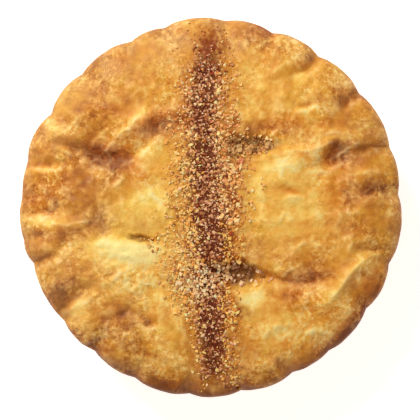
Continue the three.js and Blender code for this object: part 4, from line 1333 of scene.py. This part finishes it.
def scattered(rng, density, per_mm2):
    """Random places that follow a density."""
    count = round(4 * STREWN_HALF_WIDTH * STREWN_HALF_LENGTH * per_mm2)
    x = rng.uniform(-STREWN_HALF_WIDTH, STREWN_HALF_WIDTH, count)
    y = rng.uniform(-STREWN_HALF_LENGTH, STREWN_HALF_LENGTH, count)
    kept = rng.uniform(0, 1, count) < density(x, y)
    return np.column_stack([x[kept], y[kept]])


def octahedron():
    corners = np.array([(1, 0, 0), (-1, 0, 0), (0, 1, 0), (0, -1, 0), (0, 0, 1), (0, 0, -1)], float)
    faces = [(0, 2, 4), (2, 1, 4), (1, 3, 4), (3, 0, 4), (2, 0, 5), (1, 2, 5), (3, 1, 5), (0, 3, 5)]
    return corners, np.array(faces)


def cube():
    corners = np.array([(a, b, c) for a in (-1, 1) for b in (-1, 1) for c in (-1, 1)]) / 3 ** 0.5
    squares = [(0, 1, 3, 2), (4, 6, 7, 5), (0, 4, 5, 1), (2, 3, 7, 6), (0, 2, 6, 4), (1, 5, 7, 3)]
    halves = [((a, b, c), (a, c, d)) for a, b, c, d in squares]
    return corners, np.array([half for pair in halves for half in pair])


def random_turns(rng, count):
    """A random rotation for each grain, as matrices made from random quaternions."""
    q = rng.normal(size=(count, 4))
    w, x, y, z = (q / np.linalg.norm(q, axis=1, keepdims=True)).T
    rows = [
        (1 - 2 * (y * y + z * z), 2 * (x * y - z * w), 2 * (x * z + y * w)),
        (2 * (x * y + z * w), 1 - 2 * (x * x + z * z), 2 * (y * z - x * w)),
        (2 * (x * z - y * w), 2 * (y * z + x * w), 1 - 2 * (x * x + y * y)),
    ]
    return np.stack([np.stack(row, axis=-1) for row in rows], axis=1)


def make_grains(name, rng, form, places, radii, rise, shades):
    """One piece of many small lumps lying on the lid, each with its own size, turn and colour."""
    corners, faces = form
    count, size = len(places), len(corners)
    lumpy = corners * rng.uniform(*GRAIN_LUMPS, (count, size, 1))
    lumpy = lumpy * rng.uniform(*GRAIN_AXES, (count, 1, 3))
    lying = np.einsum("nij,nkj->nki", random_turns(rng, count), lumpy) * (1, 1, GRAIN_FLATNESS)
    x, y = places.T
    middle = np.column_stack([x, y, lid_height(x, y) + GRAIN_LIFT * radii + rise])
    points = (middle[:, None, :] + lying * radii[:, None, None]).reshape(-1, 3)
    numbered = (faces[None] + size * np.arange(count)[:, None, None]).reshape(-1, 3)
    grains = mesh_object(name, points, numbered.tolist())
    grains.data.polygons.foreach_set("use_smooth", np.zeros(len(numbered), bool))
    field = grains.data.attributes.new("grain_colour", "FLOAT_COLOR", "POINT")
    field.data.foreach_set("color", np.repeat(shades, size, axis=0).astype(np.float32).ravel())
    grains.data.materials.append(grain_material(name))
    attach(grains, "root")


def shades_between(rng, count, palette, jitter=0.14):
    """A colour for each grain, drawn from a palette with its own brightness."""
    picks = np.array(palette)[rng.integers(0, len(palette), count)]
    picks[:, :3] *= rng.uniform(1 - jitter, 1 + jitter, (count, 1))
    return np.clip(picks, 0, 1)


PALE_SHADES = colours((232, 166, 118), (194, 124, 80), (252, 204, 158), (150, 82, 46))
GOLDEN_SHADES = colours((255, 210, 126), (254, 198, 108), (236, 166, 78), (255, 226, 150))
ROSY_SHADES = colours((255, 205, 130), (247, 181, 106), (228, 152, 82), (255, 222, 156))
AMBER_SHADES = colours((255, 198, 102), (246, 178, 84), (222, 142, 54), (255, 215, 130))
CREAM_SHADES = colours((255, 222, 168), (248, 204, 148), (214, 160, 108), (255, 234, 188))
BEIGE_SHADES = colours((212, 160, 98), (186, 132, 76), (236, 190, 124), (150, 98, 54))
MAUVE_SHADES = colours((228, 180, 132), (190, 138, 98), (150, 98, 64), (248, 208, 160))
BROWN_SHADES = colours((220, 142, 78), (190, 108, 52), (156, 78, 36))
DARK_SHADES = colours((98, 46, 22), (120, 58, 28), (76, 36, 18))
PAPRIKA_SHADES = colours((176, 78, 30), (156, 60, 22), (198, 106, 48))
RED_SHADES = colours((252, 164, 118), (242, 146, 98))
GRAIN_LUMPS = (0.65, 1.4)  # least and greatest distance of a grain's corners from its middle, in radii
GRAIN_AXES = (0.55, 1.4)  # least and greatest stretch of a grain along each of its axes
GRAIN_FLATNESS = 0.9  # of its height, as grains lie on their flatter side
FINE_RADIUS, FINE_SPREAD, FINE_LIMITS = 0.35, 0.36, (0.17, 0.7)
CHIP_RADIUS, CHIP_SPREAD, CHIP_LIMITS = 0.52, 0.3, (0.3, 0.9)
CHIP_PILE = 0.7  # how high the chips pile up in the wide vents
HEAP_PILE = 0.9
LARGE_SHARE = 0.85  # of the large grains' size in the plain solid
LARGE_END_LESS = 0.3  # and how much less of it at the stripe's upper end
LARGE_END = (40, 46)  # in y
# How much larger chips are in the upper and lower vents, and how much smaller in the heap
UPPER_LARGER, LOWER_LARGER, HEAP_SMALLER = 0.05, 0.2, 0.3
# Shares of the core, the heap and a vent from which chips take their colours
CORE_FROM, HEAP_FROM, VENT_FROM = 0.4, 0.2, 0.3
MAUVE_FROM = 6  # in x, for chips in the lower vent
BROWN_FROM = 42  # in y, at the stripe's upper end

# Mix of the fine grains, in the core (on top of that in the halo) and at the stripe's upper end
CORE_REACH = 4.8  # distance from the middle line over which the core's mix gives way to the halo's
CORE_FINER, END_FINER = 0.12, 0.25
CORE_DARK, END_DARK = 0.05, 0.08
CORE_PAPRIKA, END_PAPRIKA = 0.06, 0.35
HALO_PALE, CORE_PALE = 0.04, 0.86
DARK_SIZE, END_DARK_LESS = 0.75, 0.2
FINE_END = (40, 50)  # in y
AMBER_BELOW = -5  # in y, on the right of the stripe
ROSY_ABOVE = 22  # in y, on its left
# Single grains away from the stripe: x, y, radius
STRAY_DARK = np.array([
    (8.4, -56.8, 0.7), (4.5, -56.2, 0.3), (8.3, -46.8, 0.18), (9.5, -46, 0.16), (-12.2, 51.5, 0.26),
    (-11.8, 48.8, 0.22), (-8, 52.4, 0.22), (-6, 52.4, 0.2), (-5, 54, 0.2), (-14.6, 41, 0.22),
])
STRAY_PALE = np.array([
    (7.4, -54.4, 0.6), (8.8, -54, 0.5), (6.4, -54.6, 0.45), (8.2, -55.8, 0.5), (7, -55.4, 0.4),
    (-20.6, -9.7, 0.45), (-19.3, -10, 0.5), (-18.2, -9.5, 0.55), (-17.2, -10.4, 0.5), (-16.2, -9.8, 0.5),
    (-21.8, -9.8, 0.3),
])
STRAY_RED = np.array([(9.7, 14.4, 0.75), (9.2, 14.8, 0.6), (8.7, 14.2, 0.5), (9.9, 14.9, 0.5)])


def random_radii(rng, count, middle, spread_of_sizes, limits):
    return np.clip(middle * rng.lognormal(0, spread_of_sizes, count), *limits)


def make_chips(rng):
    """The coarse chips: the plain solid's own large grains, and those that fill the vents and the heap."""
    large = large_places()
    large_radii = np.array([LARGE_RADIUS + LARGE_SPREAD * both_ways(n, 5) for n in range(1, len(large) + 1)])
    large_radii = large_radii * (LARGE_SHARE - LARGE_END_LESS * smoothstep(large[:, 1], *LARGE_END))
    strewn = scattered(rng, chip_density, CHIPS_PER_MM2)
    places = np.vstack([large, strewn, STRAY_PALE[:, :2]])
    strewn_radii = random_radii(rng, len(strewn), CHIP_RADIUS, CHIP_SPREAD, CHIP_LIMITS)
    radii = np.concatenate([large_radii, strewn_radii, STRAY_PALE[:, 2]])
    x, y = places.T
    in_upper, in_lower, in_heap = in_pool(FILLED_SLIT, x, y), in_pool(LOWER_SLIT, x, y), heap_share(x, y)
    larger = 1 + UPPER_LARGER * in_upper + LOWER_LARGER * in_lower - HEAP_SMALLER * in_heap
    radii[len(large):] *= larger[len(large):]
    piled = np.maximum(CHIP_PILE * np.maximum(in_upper, in_lower), HEAP_PILE * in_heap)
    rise = piled * rng.uniform(0, 1, len(places))
    rise[:len(large)] = 0
    shades = shades_between(rng, len(places), GOLDEN_SHADES)
    palettes = [
        (core_share(x, y) > CORE_FROM, PALE_SHADES), (in_heap > HEAP_FROM, CREAM_SHADES),
        (in_upper > VENT_FROM, BEIGE_SHADES), ((in_lower > VENT_FROM) & (x > MAUVE_FROM), MAUVE_SHADES),
        (y > BROWN_FROM, BROWN_SHADES),
    ]
    for here, palette in palettes:
        shades[here] = shades_between(rng, np.count_nonzero(here), palette)
    make_grains("crumbs_cream", rng, cube(), places, radii, rise, shades)


def make_fine_grains(rng):
    """The fine grains: pale in the core, golden beside it, with dark and red spice among them."""
    places = scattered(rng, fine_density, FINE_PER_MM2)
    x, y = places.T
    radii = random_radii(rng, len(places), FINE_RADIUS, FINE_SPREAD, FINE_LIMITS)
    near_core = np.exp(-((stripe_offset(x, y) / CORE_REACH) ** 2))
    upper_end = smoothstep(y, *FINE_END)
    radii = radii * (1 - CORE_FINER * near_core) * (1 - END_FINER * upper_end)
    kinds = rng.uniform(0, 1, len(places))
    dark = kinds < CORE_DARK * near_core + END_DARK * upper_end
    paprika = kinds > 1 - CORE_PAPRIKA * near_core - END_PAPRIKA * upper_end
    pale = ~dark & ~paprika & (rng.uniform(0, 1, len(places)) < HALO_PALE + CORE_PALE * near_core)
    golden = ~dark & ~paprika & ~pale
    radii[dark] *= DARK_SIZE - END_DARK_LESS * upper_end[dark]

    def strew(name, kind, palette, extra=np.empty((0, 3)), extra_palette=DARK_SHADES, by_place=()):
        here = np.vstack([places[kind], extra[:, :2]])
        sizes = np.concatenate([radii[kind], extra[:, 2]])
        shades = shades_between(rng, np.count_nonzero(kind), palette)
        for place, own_palette in by_place:
            shades[place[kind]] = shades_between(rng, np.count_nonzero(place[kind]), own_palette)
        shades = np.vstack([shades, shades_between(rng, len(extra), extra_palette)])
        make_grains(name, rng, octahedron(), here, sizes, np.zeros(len(here)), shades)

    strew("crumbs_pale", pale, PALE_SHADES)
    on_right = stripe_offset(x, y) > 0
    rosy = (y > ROSY_ABOVE) | on_right & (y > AMBER_BELOW)
    by_place = [(on_right & (y < AMBER_BELOW), AMBER_SHADES), (rosy, ROSY_SHADES)]
    strew("crumbs_golden", golden, GOLDEN_SHADES, by_place=by_place)
    strew("spice_dark", dark, DARK_SHADES, STRAY_DARK)
    strew("spice_paprika", paprika, PAPRIKA_SHADES, STRAY_RED, RED_SHADES)


# Stage, in metres

FLOOR_HALF = 2.0
FLOOR_DROP = 0.0003  # below the pie, so that the two faces don't lie in one plane
WORLD_COLOUR = (1.0, 0.88, 0.74, 1)
WORLD_STRENGTH = 0.3


def make_floor():
    corners = [(-FLOOR_HALF, -FLOOR_HALF, 0), (FLOOR_HALF, -FLOOR_HALF, 0), (FLOOR_HALF, FLOOR_HALF, 0),
               (-FLOOR_HALF, FLOOR_HALF, 0)]
    mesh = bpy.data.meshes.new("floor")
    mesh.from_pydata(corners, [], [(0, 1, 2, 3)])
    floor = add_object("floor", mesh)
    floor.location.z = -FLOOR_DROP
    nodes = Nodes("pale_floor")
    nodes.shade({
        "Base Color": (0.85, 0.85, 0.84, 1),
        "Roughness": 0.8,
        "Emission Color": (1, 1, 1, 1),
        "Emission Strength": 0.7,
    })
    floor.data.materials.append(nodes.material)


def make_area_light(name, place, size, watts):
    """A square lamp of the given size, facing the pie."""
    data = bpy.data.lights.new(name, "AREA")
    data.size = size
    data.energy = watts
    lamp = add_object(name, data)
    lamp.location = place
    lamp.rotation_mode = "QUATERNION"
    lamp.rotation_quaternion = lamp.location.to_track_quat("Z", "Y")


def make_lights():
    make_area_light("key", place=(-0.31, 0.45, 0.6), size=0.24, watts=4.7)
    make_area_light("fill", place=(0.1, -0.3, 0.9), size=0.8, watts=1.2)
    world = bpy.data.worlds.new("studio")
    world.use_nodes = True
    background = world.node_tree.nodes["Background"]
    background.inputs["Color"].default_value = WORLD_COLOUR
    background.inputs["Strength"].default_value = WORLD_STRENGTH
    bpy.context.scene.world = world


# Camera, in millimetres
FRAME_WIDTH = 132.6  # what the picture takes in at the height of the rim
CAMERA_X = -0.2
CAMERA_Y = -0.8
LENS = 150.0
SENSOR = 36.0


def make_camera():
    """Straight above the pie, with +Y up in the picture."""
    data = bpy.data.cameras.new("camera")
    data.lens = LENS
    data.sensor_width = SENSOR
    camera = add_object("camera", data)
    distance = FRAME_WIDTH * LENS / SENSOR
    camera.location = (CAMERA_X * METRES, CAMERA_Y * METRES, (RIM_HEIGHT + distance) * METRES)
    bpy.context.scene.camera = camera


bpy.context.scene.view_settings.view_transform = "Standard"
make_camera()
make_lights()
make_floor()
make_crust()
make_chips(np.random.default_rng(CHIPS_SEED))
make_fine_grains(np.random.default_rng(FINE_SEED))
